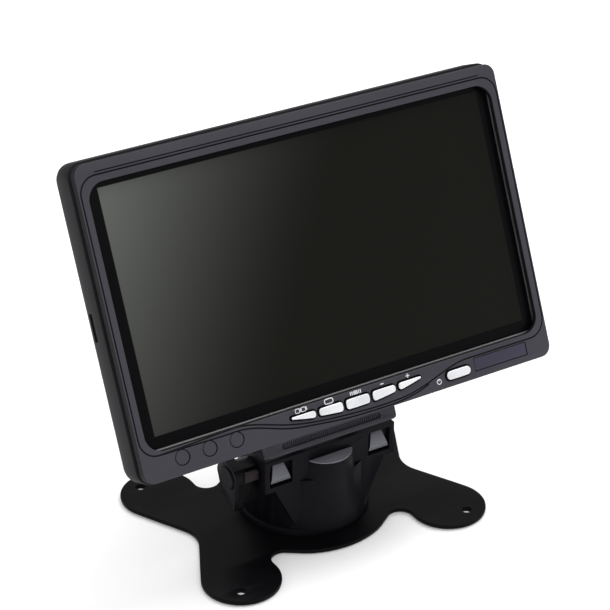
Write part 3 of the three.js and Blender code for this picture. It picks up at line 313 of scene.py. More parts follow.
def loft(rings, closed=False):
    """A skin through rings of points. Its ends are filled, unless it is a ring itself."""
    bm = bmesh.new()
    made = [[bm.verts.new(p) for p in ring] for ring in rings]
    pairs = list(zip(made, made[1:] + made[:1])) if closed else list(zip(made, made[1:]))
    for low, high in pairs:
        for i in range(len(low)):
            j = (i + 1) % len(low)
            bm.faces.new((low[i], low[j], high[j], high[i]))
    if not closed:
        bm.faces.new(reversed(made[0]))
        bm.faces.new(made[-1])
    mesh = bpy.data.meshes.new("loft")
    bm.to_mesh(mesh)
    bm.free()
    return welded(mesh)


def spun(profile, sides=72):
    """A body turned about the z axis from a profile of radius and height."""
    return loft([at_height(circle(r, sides=sides), z) for r, z in profile])


print("a turned test cone has", len(spun([(3, 0), (1, 4)], 24).polygons), "faces")

# %% [markdown]
# ## Cuts, soft edges and copies
# Cuts are Boolean modifiers that are applied at once. A Bevel modifier then rounds
# what a cut or a solid leaves sharp, by the angle between two faces. It can only
# work on large clean faces, so flat triangles are merged before it.

# %% Cuts


def joined(*meshes):
    """Several separate bodies as one mesh."""
    bm = bmesh.new()
    for mesh in meshes:
        bm.from_mesh(mesh)
    whole = bpy.data.meshes.new("joined")
    bm.to_mesh(whole)
    bm.free()
    return whole


def combined(mesh, others, operation):
    """A mesh after a Boolean operation with each of the others."""
    obj = bpy.data.objects.new("base", mesh)
    tools = []
    for other in others:
        tool = bpy.data.objects.new("tool", other)
        bpy.context.scene.collection.objects.link(tool)
        tools.append(tool)
        step = obj.modifiers.new("step", "BOOLEAN")
        step.operation = operation
        step.solver = "EXACT"
        step.object = tool
    result = baked(obj)
    for tool in tools:
        bpy.data.objects.remove(tool)
    return result


both = joined(plate([circle(2)], 0, 1, 0.1), plate([circle(2)], 4, 5, 0.1))
print("points in two plates as one mesh:", len(both.vertices))

# %% Soft edges and copies


def softened(mesh, width, segments=3, angle=35):
    """A mesh with its sharp edges rounded by a Bevel modifier."""
    bm = bmesh.new()
    bm.from_mesh(mesh)
    bmesh.ops.dissolve_limit(
        bm, angle_limit=math.radians(1), verts=bm.verts, edges=bm.edges
    )
    bm.to_mesh(mesh)
    bm.free()
    obj = bpy.data.objects.new("soft", mesh)
    bevel = obj.modifiers.new("round", "BEVEL")
    bevel.width = width
    bevel.segments = segments
    bevel.limit_method = "ANGLE"
    bevel.angle_limit = math.radians(angle)
    bevel.use_clamp_overlap = True
    bevel.miter_outer = "MITER_ARC"
    return baked(obj)


def node_copy(node, place):
    """A merged copy of a node's mesh in a place's own axes, in millimetres."""
    mesh = frame["nodes"][node].data.copy()
    mesh.transform(place.inverted())
    return welded(mesh)


print("points in a copy of the post:", len(node_copy("stand_post", STAND).vertices))

# %% [markdown]
# ## Writing a finish as sums
# A procedural finish is arithmetic on the place of each point. In a node tree that
# takes dozens of little Math nodes, which are hard to read and to change. A small
# class that holds one socket and knows plus, minus, times and divide lets the same
# tree be written as ordinary sums, and adds the nodes itself.

# %% A socket that can be added and multiplied


class Wire:
    """One output of a node, with arithmetic that adds Math nodes."""

    def __init__(self, finish, socket):
        self.finish = finish
        self.socket = socket

    def math(self, operation, first, second=0.0):
        return self.finish.node("Math", {"operation": operation}, {0: first, 1: second})

    def __add__(self, other):
        return self.math("ADD", self, other)

    def __radd__(self, other):
        return self.math("ADD", other, self)

    def __sub__(self, other):
        return self.math("SUBTRACT", self, other)

    def __rsub__(self, other):
        return self.math("SUBTRACT", other, self)

    def __mul__(self, other):
        return self.math("MULTIPLY", self, other)

    def __rmul__(self, other):
        return self.math("MULTIPLY", other, self)

    def absolute(self):
        return self.math("ABSOLUTE", self)

    def least(self, other):
        return self.math("MINIMUM", self, other)

    def most(self, other):
        return self.math("MAXIMUM", self, other)

    def ramp(self, start, end):
        """0 below start, 1 above end, with a soft step between."""
        settings = {"interpolation_type": "SMOOTHSTEP"}
        inputs = {"Value": self, "From Min": start, "From Max": end}
        return self.finish.node("MapRange", settings, inputs)


print("besides sums, a wire has:", [n for n in vars(Wire) if not n.startswith("_")])

# %% A material that adds its own nodes


class Surface:
    """A material with one shader, and one method that adds any node to it."""

    def __init__(self, name, slot, **fixed):
        self.slot = slot
        self.material = bpy.data.materials.new(name)
        self.material.use_nodes = True
        self.tree = self.material.node_tree
        self.tree.nodes.clear()
        self.shader = self.tree.nodes.new("ShaderNodeBsdfPrincipled")
        output = self.tree.nodes.new("ShaderNodeOutputMaterial")
        self.tree.links.new(self.shader.outputs[0], output.inputs["Surface"])
        for socket, value in fixed.items():
            label = socket.replace("_", " ").title().replace("Ior", "IOR")
            self.shader.inputs[label].default_value = value
        self.place = self.node("TexCoord", output="Object")

    def node(self, kind, settings=None, inputs=None, output=0):
        """A node of a type, its settings first and then its sockets."""
        made = self.tree.nodes.new("ShaderNode" + kind)
        for name, value in (settings or {}).items():
            setattr(made, name, value)
        for name, value in (inputs or {}).items():
            if isinstance(value, Wire):
                self.tree.links.new(value.socket, made.inputs[name])
            else:
                made.inputs[name].default_value = value
        return Wire(self, made.outputs[output])

    def feed(self, socket, value):
        self.tree.links.new(value.socket, self.shader.inputs[socket])


print("a surface has:", [n for n in vars(Surface) if not n.startswith("_")])

# %% Patterns and colours that finishes are made of


def colour_value(value):
    """A colour for a socket: a wire as it is, or three numbers with an alpha."""
    return value if isinstance(value, Wire) else (*value, 1.0)


class Finish(Surface):
    """A surface with the few patterns and colours that its sums start from."""

    def along(self, direction, origin):
        """Distance in millimetres along a direction from a point of the frame."""
        moved = self.node(
            "VectorMath", {"operation": "SUBTRACT"}, {0: self.place, 1: origin}
        )
        unit = [c / MM for c in direction]
        return self.node(
            "VectorMath", {"operation": "DOT_PRODUCT"}, {0: moved, 1: unit}, "Value"
        )

    def stretched(self, scale):
        """The place of each point, stretched by a factor along each axis."""
        return self.node("Mapping", None, {"Vector": self.place, "Scale": scale})

    def noise(self, scale, detail=2.0, vector=None):
        """Noise about nought, with so many lumps in each millimetre."""
        inputs = {"Vector": vector or self.place, "Scale": scale / MM, "Detail": detail}
        return self.node("TexNoise", None, inputs, "Fac") - 0.5

    def cells(self, scale, vector=None):
        """Distance to the nearest of many scattered points, from 0 to about 1."""
        inputs = {"Vector": vector or self.place, "Scale": scale / MM}
        return self.node("TexVoronoi", None, inputs, "Distance")

    def stripes(self, direction, scale, wander):
        """Bands across a direction, from 0 to 1, that wander by an amount."""
        inputs = {"Vector": self.place, "Scale": scale / MM, "Distortion": wander, "Detail": 1.0}
        return self.node("TexWave", {"bands_direction": direction}, inputs, "Fac")

    def blend(self, amount, first, second):
        """One colour turning into another."""
        settings = {"data_type": "RGBA"}
        inputs = {"Factor": amount, 6: colour_value(first), 7: colour_value(second)}
        return self.node("Mix", settings, inputs, 2)

    def colour(self, value):
        self.feed("Base Color", value)

    def over(self, amount, value):
        """Lay another colour over the one that the shader has now."""
        now = self.shader.inputs["Base Color"].links[0].from_socket
        self.colour(self.blend(amount, Wire(self, now), value))

    def mottled(self, pattern, dark, light):
        """Two tones that a pattern about nought mixes."""
        self.colour(self.blend((pattern + 0.5).ramp(0, 1), dark, light))

    def relief(self, height, depth):
        """Small bumps, as high as depth in millimetres where height is 1."""
        inputs = {"Height": height * (depth * MM), "Distance": 1.0, "Strength": 1.0}
        self.feed("Normal", self.node("Bump", None, inputs, "Normal"))


print("a finish adds:", [n for n in vars(Finish) if not n.startswith("_")])

# %% Colours from a painter's chart


def tone(red, green, blue):
    """A colour as a painter's chart gives it, 0 to 255, as light for the shader."""
    shares = [c / 255 for c in (red, green, blue)]
    return tuple(
        s / 12.92 if s < 0.04045 else ((s + 0.055) / 1.055) ** 2.4 for s in shares
    )


print("mid grey as light:", [round(c, 3) for c in tone(128, 128, 128)])

# %% [markdown]
# ## Moulded black plastic
# The stand, the foot and the casing are all black, but not the same black. The
# casing's halves come from a spark-eroded tool, which leaves a fine even grain, and
# the stand is smoother and darker. Real mouldings also drift a little in tone and in
# gloss where the melt flowed and cooled. One function makes the family, so the
# pieces look related and still differ.

# %% Finishes of the plastics


def moulded(name, slot, colour, gloss, grain, grain_size, shine):
    """Black plastic with drifting tone, a fine grain and patches of duller gloss."""
    finish = Finish(name, slot, specular_ior_level=shine)
    drift = finish.noise(0.035, 3.0)
    speck = finish.noise(3.5 / grain_size, 2.0)
    pale = tuple(min(1.0, c * 1.35 + 0.002) for c in colour)
    deep = tuple(c * 0.72 for c in colour)
    finish.mottled(drift * 1.2 + speck * 0.35, deep, pale)
    finish.feed("Roughness", drift * 0.12 + speck * 0.1 + gloss)
    pits = finish.cells(1 / grain_size)
    finish.relief(speck + pits * 0.6, grain)
    return finish


STAND_TONE = tone(15, 13, 18)
BRACKET_TONE = tone(64, 64, 70)
FOOT_TONE = tone(9, 8, 11)
HOUSING_TONE = tone(25, 23, 27)


def stand_black(name):
    return moulded(name, "black_stand_plastic", STAND_TONE, 0.42, 0.012, 0.5, 0.06)


stand_finish = stand_black("stand black")
bracket_finish = moulded(
    "bracket black", "dark_bracket_plastic", BRACKET_TONE, 0.5, 0.014, 0.45, 0.12
)
foot_finish = moulded("satin foot black", "satin_black_plate", FOOT_TONE, 0.36, 0.01, 0.8, 0.05)
housing_finish = moulded("housing black", "housing_plastic", HOUSING_TONE, 0.55, 0.03, 0.4, 0.12)
print("plastic finishes:", stand_finish.material.name, foot_finish.material.name)

# %% [markdown]
# ## The bezel's satin
# The front is the lightest of the black parts: a slate grey with a violet cast and
# a soft sheen over a very fine grain. The lines moulded into it look darker than
# their depth explains, so shade is painted into them: the finish turns darker with
# depth under the face, which also paints shade on the rounded rims of the openings
# and on the sides of the plugs and the window.

# %% Finish of the bezel


def under_face(finish):
    """Depth below the front face in millimetres."""
    return finish.along(-OUT, SCREEN @ Vector((0, 0, 0)))


def satin(name, slot, colour, gloss, shade_from, shade_to):
    """Grey plastic with a fine grain, and painted shade between two depths and below."""
    finish = Finish(name, slot, specular_ior_level=0.2)
    drift = finish.noise(0.02, 2.0)
    speck = finish.noise(5.0, 3.0)
    pale = tuple(c * 1.25 for c in colour)
    deep = tuple(c * 0.8 for c in colour)
    grained = finish.blend((drift * 0.9 + speck * 0.5 + 0.5).ramp(0, 1), deep, pale)
    # Painted shade: nearly black with depth under the front face.
    painted_shade = under_face(finish).ramp(shade_from, shade_to)
    finish.colour(finish.blend(painted_shade, grained, tone(10, 10, 13)))
    finish.feed("Roughness", gloss + speck * 0.14 + painted_shade * 0.2)
    finish.relief(speck + finish.cells(3.0) * 0.5, 0.007)
    return finish


SLATE = tone(58, 57, 64)
bezel_finish = satin("slate satin", "bezel_plastic", SLATE, 0.46, 0.05, 0.15)
plug_finish = satin("plug satin", "bezel_plastic", SLATE, 0.46, 0.4, 0.9)
lens_finish = satin("infrared window", "infrared_lens", tone(60, 58, 72), 0.24, 0.9, 1.4)
print("satin finishes:", bezel_finish.material.name, lens_finish.material.name)

# %% [markdown]
# ## The front bezel
# The bezel is one moulding with many openings: the screen's, one for each key, three
# round ones that are left blank here, and the window for the remote's receiver.
# Every opening's outline is read from the part that sits in it and grown by the gap
# that the solid has. The filled curve then rounds all the rims together.

# %% Openings of the bezel
KEYS = ["mode", "source", "menu", "minus", "plus", "power"]
PLUGS = ["blank_plug_1", "blank_plug_2", "blank_plug_3"]
LIP = 2.1
BEZEL_CORNER = 4.2
KEY_GAP = 0.5
PLUG_GAP = 0.2
RIM_ROUND = 0.3


def front_outline(node):
    """The smoothed outline of a part's front face, in the screen's axes."""
    return smooth_loop(flat_loops(node, SCREEN, span(node, SCREEN)[1].z)[0])


bezel_loops = flat_loops("front_bezel", SCREEN, 0)
outer_rim = rounded_rect(face_low, face_high, BEZEL_CORNER)
panel_hole = smooth_loop(bezel_loops[1])
key_outlines = {name: front_outline(name + "_button") for name in KEYS}
plug_outlines = [front_outline(name) for name in PLUGS]
window_outline = front_outline("ir_window")
openings = [panel_hole]
openings += [grown(p, KEY_GAP) for p in key_outlines.values()]
openings += [grown(p, PLUG_GAP) for p in plug_outlines + [window_outline]]
bezel_plate = plate([outer_rim] + openings, -LIP, 0, RIM_ROUND)
print("openings in the bezel:", len(openings))
print("points in its front plate:", len(bezel_plate.vertices))

# %% [markdown]
# ## Lines in the front
# One fine line runs all round the screen and dips under the row of keys. A second
# runs beside the dip and comes near it again at the right, and a straight third
# one lies above the screen. A line like that is a groove, not paint. A curve with a
# small round bevel makes a tool of the groove's shape, and a Boolean cuts it. The
# dip is drawn through a few points, with a curve that passes through each of them.

# %% Run of the lines
GROOVE_R = 0.32
GROOVE_Z = -0.06
DIP = [(-56, 10.0), (-44, 9.8), (-28.2, 5.4), (-18, 3.5), (-6.6, 2.4), (8, 1.7), (20.3, 2.0)]
RISE = [(28.5, 3.5), (35.1, 5.4), (40.9, 7.1), (46.5, 8.2), (54, 8.3), (70, 8.3)]
SECOND = [(-77, 9.1), (-56, 8.8), (-43.2, 8.4), (-28.5, 4.1), (-18.2, 2.5), (-4.4, 1.1)]
SECOND_END = [(8, 0.75), (17.3, 0.85), (25.5, 2.0), (31, 3.6)]


def through(points, parts=6):
    """An open curve through its points, as short steps."""
    spots = [Vector(p) for p in points]
    path = []
    for i in range(len(spots) - 1):
        before = spots[max(i - 1, 0)]
        after = spots[min(i + 2, len(spots) - 1)]
        start = (spots[i + 1] - before) / 2
        end = (after - spots[i]) / 2
        for step in range(parts):
            t = step / parts
            path.append(
                spots[i] * (2 * t**3 - 3 * t**2 + 1)
                + start * (t**3 - 2 * t**2 + t)
                + spots[i + 1] * (3 * t**2 - 2 * t**3)
                + end * (t**3 - t**2)
            )
    return path + [spots[-1]]


dip_line = through(DIP + RISE)
second_line = through(SECOND + SECOND_END)
print("points along the two lines:", len(dip_line), len(second_line))

# %% Tools that cut the lines


def groove_tool(path, radius, height, cyclic):
    """A thin round bar along a path, for cutting a groove."""
    curve = bpy.data.curves.new("groove", "CURVE")
    curve.dimensions = "3D"
    curve.bevel_depth = radius
    curve.bevel_resolution = 1
    curve.use_fill_caps = not cyclic
    spline = curve.splines.new("POLY")
    spline.points.add(len(path) - 1)
    for spot, point in zip(spline.points, path):
        spot.co = (point.x, point.y, height, 1)
    spline.use_cyclic_u = cyclic
    return baked(bpy.data.objects.new("groove", curve))


hole_low = Vector([min(p[i] for p in panel_hole) for i in range(2)])
hole_high = Vector([max(p[i] for p in panel_hole) for i in range(2)])
LINE_OUT = Vector((2.6, 2.6))
LINE_CORNER = 6.4
line_low = hole_low - LINE_OUT + Vector((0, 1.5))
ring = rounded_rect(line_low, hole_high + LINE_OUT, LINE_CORNER)
quarter = len(ring) // 4
last_corner = ring[3 * quarter :]
drop = last_corner[0].y - RISE[-1][1]
loop = ring[: 3 * quarter] + dip_line
for i, point in enumerate(last_corner):
    loop.append(point - Vector((0, drop * (1 - i / (quarter - 1)))))
top_y = hole_high.y + LINE_OUT.y + 1.0
top_line = [Vector((hole_low.x + 4, top_y)), Vector((hole_high.x - 4, top_y))]
tools = [
    groove_tool(loop, GROOVE_R, GROOVE_Z, True),
    groove_tool(second_line, GROOVE_R, GROOVE_Z, False),
    groove_tool(top_line, GROOVE_R * 0.8, GROOVE_Z, False),
]
print("length of the first line in mm:", round(loop_length(loop)))

# %% [markdown]
# ## Putting the bezel together
# Behind the plate a rim stands back round the edge and a skirt slips into the rear
# housing. They are simple rings, so each is a lofted wall. The lines are cut first
# and the walls are added after, because cuts are quicker on the smaller mesh.

# %% Body of the bezel
RIM_DEPTH = 3.2
RIM_WALL = 1.8
SKIRT_DEPTH = 8
SKIRT_WALL = 1.3
SKIRT_IN = 1.1
SKIRT_CORNER = 4.7
OVERLAP = 0.5


def wall(low, high, radius, thick, back, front):
    """A closed wall that follows a rounded rectangle."""
    inset = Vector((thick, thick))
    outside = rounded_rect(low, high, radius)
    inside = rounded_rect(low + inset, high - inset, max(radius - thick, 0.4))
    rings = [(outside, front), (outside, back), (inside, back), (inside, front)]
    return loft([at_height(points, z) for points, z in rings], closed=True)


low, high = face_low.to_2d(), face_high.to_2d()
edge = Vector((SKIRT_IN, SKIRT_IN))
inner_face = OVERLAP - LIP
rim = wall(low, high, BEZEL_CORNER, RIM_WALL, -RIM_DEPTH, inner_face)
skirt = wall(low + edge, high - edge, SKIRT_CORNER, SKIRT_WALL, -SKIRT_DEPTH, inner_face)
bezel_mesh = combined(bezel_plate, tools, "DIFFERENCE")
bezel_mesh = joined(bezel_mesh, rim, skirt)
print("faces in the bezel:", len(bezel_mesh.polygons))

# %% [markdown]
# ## Handing a piece over
# Every finished mesh goes the same way: into metres and into place, smooth where it
# is round and sharp where it is not, with its finish, on the body that it moves
# with, and in place of the nodes it stands for. One function does it, so that no
# piece is forgotten on the way.

# %% Add a finished piece
BODY_OF = {node: obj["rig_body"] for node, obj in frame["nodes"].items()}


def add_piece(name, mesh, place, finish, nodes=(), body=None, sharp=38):
    """A piece at its place in the frame, standing for its nodes."""
    mesh.transform(place)
    mesh.name = name
    mesh.materials.clear()
    mesh.materials.append(finish.material)
    mesh.shade_smooth()
    mesh.set_sharp_from_angle(angle=math.radians(sharp))
    obj = bpy.data.objects.new(name, mesh)
    bpy.context.scene.collection.objects.link(obj)
    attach(obj, body or BODY_OF[nodes[0]])
    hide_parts(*nodes)
    print(name, "has", len(mesh.polygons), "faces")
    return obj


add_piece("bezel", bezel_mesh, SCREEN, bezel_finish, ["front_bezel"])

# %% [markdown]
# ## Keys, plugs and the receiver's window
# The keys are silver lozenges with softly rounded tops. Each is the same moulding
# idea: the outline of its node, filled and rounded, and high enough to stand proud
# of the face. Metallic paint is a dark base with bright flakes, so the finish mixes
# two greys by a fine noise and keeps the metal part below one. A mask by depth
# paints shade on the rounded rims and the sides, which turn dark grey.

# %% Finish of the keys
key_finish = Finish("silver key paint", "silver_key", coat_weight=0.3, coat_roughness=0.2)
flake = key_finish.noise(9.0, 1.0)
sweep = key_finish.noise(0.12, 1.0)
shine = (flake * 0.7 + sweep + 0.5).ramp(0, 1)
key_finish.colour(key_finish.blend(shine, tone(204, 205, 209), tone(246, 246, 248)))
key_top = span("menu_button", SCREEN)[1].z
# Painted shade: the rim and sides of each key turn dark grey below its top.
key_side_shade_depth = key_finish.along(-OUT, SCREEN @ Vector((0, 0, key_top)))
key_finish.over(key_side_shade_depth.ramp(0.22, 0.4), tone(26, 26, 29))
key_finish.feed("Metallic", 0.15 + flake * 0.2)
key_finish.feed("Roughness", 0.34 + flake * 0.2)
key_finish.relief(flake, 0.002)
print("key finish:", key_finish.material.name)

# %% Keys


def capped(node, outline, edge, z0=None):
    """A part with its front outline, rounded rims, and its node's depth."""
    low, high = span(node, SCREEN)
    return plate([outline], low.z if z0 is None else z0, high.z, edge)


for name, outline in key_outlines.items():
    node = name + "_button"
    cap = capped(node, outline, 0.42, -LIP - 0.5)
    flange = plate([grown(outline, 0.3)], -LIP - 1.0, -LIP - 0.35, 0.1)
    middle = sum(outline, Vector((0, 0))) / len(outline)
    back = span(node, SCREEN)[0].z
    plunger = plate([circle(1.1, middle.x, 5.4, 16)], back, -LIP - 0.6, 0.15)
    mesh = joined(cap, flange, plunger)
    add_piece(name + "_key", mesh, SCREEN, key_finish, [node])

# %% Blank plugs and the window
for node, outline in zip(PLUGS, plug_outlines):
    add_piece(node + "_cap", capped(node, outline, 0.3), SCREEN, plug_finish, [node])
window_mesh = capped("ir_window", window_outline, 0.16)
add_piece("receiver_window", window_mesh, SCREEN, lens_finish, ["ir_window"])

# %% [markdown]
# ## Printed marks
# Each key has a small white mark above it. Marks are ink: flat, slightly uneven and
# thinner than a hair. They are little plates here, a few hundredths of a millimetre
# high, all in one mesh, with shapes that say what a key does without any letters.

# %% Finish of the ink
ink_finish = Finish("white ink", "silver_key")
speckle = ink_finish.noise(6.0, 3.0)
thin_ink, full_ink = tone(196, 196, 200), tone(240, 240, 243)
ink_finish.colour(ink_finish.blend((speckle + 0.6).ramp(0, 1), thin_ink, full_ink))
ink_finish.feed("Roughness", 0.55 + speckle * 0.2)
ink_finish.relief(speckle, 0.004)
print("ink finish:", ink_finish.material.name)

# %% Strokes of a mark
INK = 0.04
BAR = 0.34


def bar(x, y, wide, high):
    outline = rect_about(x, y, wide, high, min(wide, high) * 0.3, 3)
    return plate([outline], 0, INK, SHARP)


def outline_mark(outline, thick):
    return plate([outline, grown(outline, -thick)], 0, INK, SHARP)


def over_key(name):
    """The place just over the highest point of a key."""
    points = key_outlines[name]
    return sum(p.x for p in points) / len(points), max(p.y for p in points) + 1.45


print("place over the menu key:", [round(c, 1) for c in over_key("menu")])

# %% Marks over the keys
marks = []
x, y = over_key("mode")
for step in (-1.9, 0.55):
    marks.append(outline_mark(rect_about(x + step, y, 1.44, 1.24, 0.2, 3), BAR * 0.7))
    marks.append(bar(x + step + 1.25, y, BAR, 1.3))
x, y = over_key("source")
marks.append(outline_mark(rect_about(x, y, 3.1, 1.4, 0.5, 4), BAR))
x, y = over_key("menu")
marks += [bar(x + step, y, 0.36, 1.35) for step in (-2.1, -1.4, -0.7, 0.7, 1.4, 2.1)]
marks += [bar(x, y + step, 0.9, BAR) for step in (-0.5, 0.0, 0.5)]
x, y = over_key("minus")
marks.append(bar(x, y, 1.5, BAR))
x, y = over_key("plus")
marks += [bar(x, y, 1.6, BAR), bar(x, y, BAR, 1.6)]
x, y = over_key("power")[0] - 8.6, 3.2
marks += [outline_mark(circle(0.75, x, y, 24), BAR * 0.8), bar(x, y + 0.6, BAR * 0.8, 0.8)]
add_piece("printed_marks", joined(*marks), SCREEN, ink_finish, body="monitor")

# %% [markdown]
# ## The screen
# Switched off, a panel is a sheet of dark film behind a black border. The film is
# not neutral: its coating gives it an olive grey. Towards one corner a painted sheen
# makes it paler, in place of a reflection. Two masks make it, one for the border that
# the active area leaves, and one for the painted sheen along the diagonal.

# %% Finish of the glass
ACTIVE_W = 155.0
ACTIVE_H = 87.0
glass_low, glass_high = span("lcd_panel", SCREEN)
glass_middle = SCREEN @ ((glass_low + glass_high) / 2)
glass_finish = Finish("panel film", "screen_glass", specular_ior_level=0.08)
across = glass_finish.along(RIGHT, glass_middle)
upward = glass_finish.along(UP, glass_middle)
border = (across.absolute() - ACTIVE_W / 2).most(upward.absolute() - ACTIVE_H / 2)
# Painted sheen: the film grows paler towards its upper left corner.
sheen_slope = (across * -0.0101 + upward * 0.0056).most(0)
painted_sheen = sheen_slope * sheen_slope
weave = glass_finish.noise(0.9, 1.0)
film = glass_finish.blend(painted_sheen, tone(19, 19, 16), tone(92, 94, 91))
black = border.ramp(-0.15, 0.15)
glass_finish.colour(glass_finish.blend(black, film, tone(6, 6, 8)))
glass_finish.feed("Roughness", 0.34 + weave * 0.06 + black * -0.08)
glass_finish.relief(weave, 0.0015)
glass_outline = rounded_rect(glass_low, glass_high, 0.8, 4)
glass_mesh = plate([glass_outline], glass_low.z, glass_high.z, 0.12)
add_piece("screen_glass", glass_mesh, SCREEN, glass_finish, ["lcd_panel"])

# %% [markdown]
# ## The rear housing
# The casing's sides run straight from the mouth and then turn into the back over a
# quarter of an ellipse. A loft is the natural way: the same rounded rectangle is
# drawn again and again, drawn in a little more at each step. More than twice as many
# steps as the solid has, and round corners with more points, make the turn smooth.

# %% Shell of the housing
WALL = 2.0
CASE_CORNER = 5.5
TURN_DEPTH = 7.0
TURN_IN = 6.3
case_low, case_high = span("rear_housing", SCREEN)


def case_ring(inset, corner, z):
    step = Vector((inset, inset))
    low, high = case_low.to_2d() + step, case_high.to_2d() - step
    return at_height(rounded_rect(low, high, corner, 7), z)


def turn_rings(inset, back, steps=9):
    """Rings from the back out to the straight sides."""
    rings = []
    for i in range(steps + 1):
        angle = math.pi / 2 * (1 - i / steps)
        drawn = TURN_IN * (1 - math.cos(angle))
        z = back + TURN_DEPTH * (1 - math.sin(angle))
        rings.append(case_ring(inset + drawn, CASE_CORNER - inset / 2 + drawn * 0.4, z))
    return rings


mouth = case_high.z
outside = turn_rings(0, case_low.z)
outside.append(case_ring(0, CASE_CORNER, mouth - 0.4))
outside.append(case_ring(0.12, CASE_CORNER, mouth - 0.1))
outside.append(case_ring(0.4, CASE_CORNER, mouth))
inside = [case_ring(1.6, CASE_CORNER - 0.8, mouth)]
inside += reversed(turn_rings(WALL, case_low.z + WALL))
shell = loft(outside + inside)
print("points in the shell:", len(shell.vertices))

# %% [markdown]
# ## Rows made by Geometry Nodes
# Vents, the slats behind them and the ribs of a grip are all one bar repeated at
# even steps. Copying a bar by hand gives a heap of loose objects; a node tree gives
# one recipe with named sizes. This tree draws a round-cornered outline, fills and
# lifts it, puts a copy on each point of a line, and ends with real geometry and its
# material. Running it on an empty mesh and keeping the result leaves no modifier
# behind.

# %% Helpers for node trees


def new_tree(name, inputs):
    """An empty node tree with named inputs, and its input sockets by name."""
    tree = bpy.data.node_groups.new(name, "GeometryNodeTree")
    tree.interface.new_socket("Geometry", in_out="INPUT", socket_type="NodeSocketGeometry")
    for label, kind in inputs.items():
        tree.interface.new_socket(label, in_out="INPUT", socket_type="NodeSocket" + kind)
    tree.interface.new_socket("Geometry", in_out="OUTPUT", socket_type="NodeSocketGeometry")
    given = tree.nodes.new("NodeGroupInput")
    return tree, {socket.name: socket for socket in given.outputs if socket.name}


def add_step(tree, kind, settings=None, output=0, **inputs):
    """A node of the tree, with its settings and its inputs by name."""
    made = tree.nodes.new(kind)
    for name, value in (settings or {}).items():
        setattr(made, name, value)
    for name, value in inputs.items():
        socket = made.inputs[name.replace("_", " ")]
        for one in value if isinstance(value, list) else [value]:
            if isinstance(one, bpy.types.NodeSocket):
                tree.links.new(one, socket)
            else:
                socket.default_value = one
    return made.outputs[output]


def close_tree(tree, geometry, material):
    """Real geometry, its material, and the way out."""
    real = add_step(tree, "GeometryNodeRealizeInstances", Geometry=geometry)
    painted = add_step(tree, "GeometryNodeSetMaterial", Geometry=real, Material=material)
    tree.links.new(painted, tree.nodes.new("NodeGroupOutput").inputs[0])


def run_tree(tree, **values):
    """The plain mesh that a tree makes with these values."""
    obj = bpy.data.objects.new("row", bpy.data.meshes.new("row"))
    modifier = obj.modifiers.new("row", "NODES")
    modifier.node_group = tree
    for item in tree.interface.items_tree:
        if item.in_out == "INPUT" and item.name in values:
            modifier[item.identifier] = values[item.name]
    return baked(obj)


print("node trees so far:", len(bpy.data.node_groups))

# %% A tree for a row of bars
sizes = {"Width": "Float", "Length": "Float", "Height": "Float", "Corner": "Float"}
places = {"Count": "Int", "Start": "Vector", "Step": "Vector"}
bar_row, given = new_tree("row of bars", {**sizes, **places, "Material": "Material"})
size = {"Width": given["Width"], "Height": given["Length"]}
outline = add_step(bar_row, "GeometryNodeCurvePrimitiveQuadrilateral", **size)
fillet = {"Curve": outline, "Radius": given["Corner"], "Count": 4, "Limit_Radius": True}
outline = add_step(bar_row, "GeometryNodeFilletCurve", {"mode": "POLY"}, **fillet)
face = add_step(bar_row, "GeometryNodeFillCurve", {"mode": "NGONS"}, Curve=outline)
lift = {"Mesh": face, "Offset_Scale": given["Height"], "Individual": False}
lifted = add_step(bar_row, "GeometryNodeExtrudeMesh", {"mode": "FACES"}, **lift)
under = add_step(bar_row, "GeometryNodeFlipFaces", Mesh=face)
both = add_step(bar_row, "GeometryNodeJoinGeometry", Geometry=[lifted, under])
whole = add_step(bar_row, "GeometryNodeMergeByDistance", Geometry=both, Distance=0.001)
along = {"Count": given["Count"], "Start_Location": given["Start"], "Offset": given["Step"]}
line = add_step(bar_row, "GeometryNodeMeshLine", **along)
copies = add_step(bar_row, "GeometryNodeInstanceOnPoints", Points=line, Instance=whole)
close_tree(bar_row, copies, given["Material"])


def bars(count, start, step, width, length, height, corner, finish):
    """A row of round-cornered bars, as one mesh, in millimetres."""
    return run_tree(
        bar_row, Width=width, Length=length, Height=height, Corner=corner,
        Count=count, Start=start, Step=step, Material=finish.material,
    )


five = bars(5, (0, 0, 0), (2, 0, 0), 1, 4, 1, 0.4, stand_finish)
print("faces in a row of five bars:", len(five.polygons))

# %% [markdown]
# ## Vents, slots and screw wells
# The back has two banks of vents, a hole for the lead, a slot in each side and two
# wells for the screws that hold the halves together. The tree's rows are the tools
# for the vents here, cut through the shell like the slots that a mould's steel
# fingers leave.

# %% Cut the housing
VENTS = 9
VENT_PITCH = 5.0
VENT_W = 1.8
VENT_H = 16.0
WELL_R = 2.7
SIDE_SLOT = Vector((2.2, 10))
GLAND_HOLE_R = 4.3
vent_middle = case_high.x - 38.5
vent_y = case_high.y - 13.4 - VENT_H / 2
cutters = []
for side in (-1, 1):
    first = side * vent_middle - VENT_PITCH * (VENTS - 1) / 2
    start = (first, vent_y, case_low.z - 1)
    step = (VENT_PITCH, 0, 0)
    cutters.append(bars(VENTS, start, step, VENT_W, VENT_H, WALL + 2, 0.85, housing_finish))
    screw = "case_screw_right" if side > 0 else "case_screw_left"
    screw_low, screw_high = span(screw, SCREEN)
    middle = (screw_low + screw_high) / 2
    well = circle(WELL_R, middle.x, middle.y, 28)
    cutters.append(plate([well], case_low.z - 1, screw_low.z + 1.9, SHARP))
    slot = rect_about(side * case_high.x, (case_low.y + case_high.y) / 2, *SIDE_SLOT, 0.3, 3)
    depth = case_low.z + TURN_DEPTH
    cutters.append(plate([slot], depth, depth + 2.4, SHARP))
gland_low, gland_high = span("cable_gland", SCREEN)
gland_middle = (gland_low + gland_high) / 2
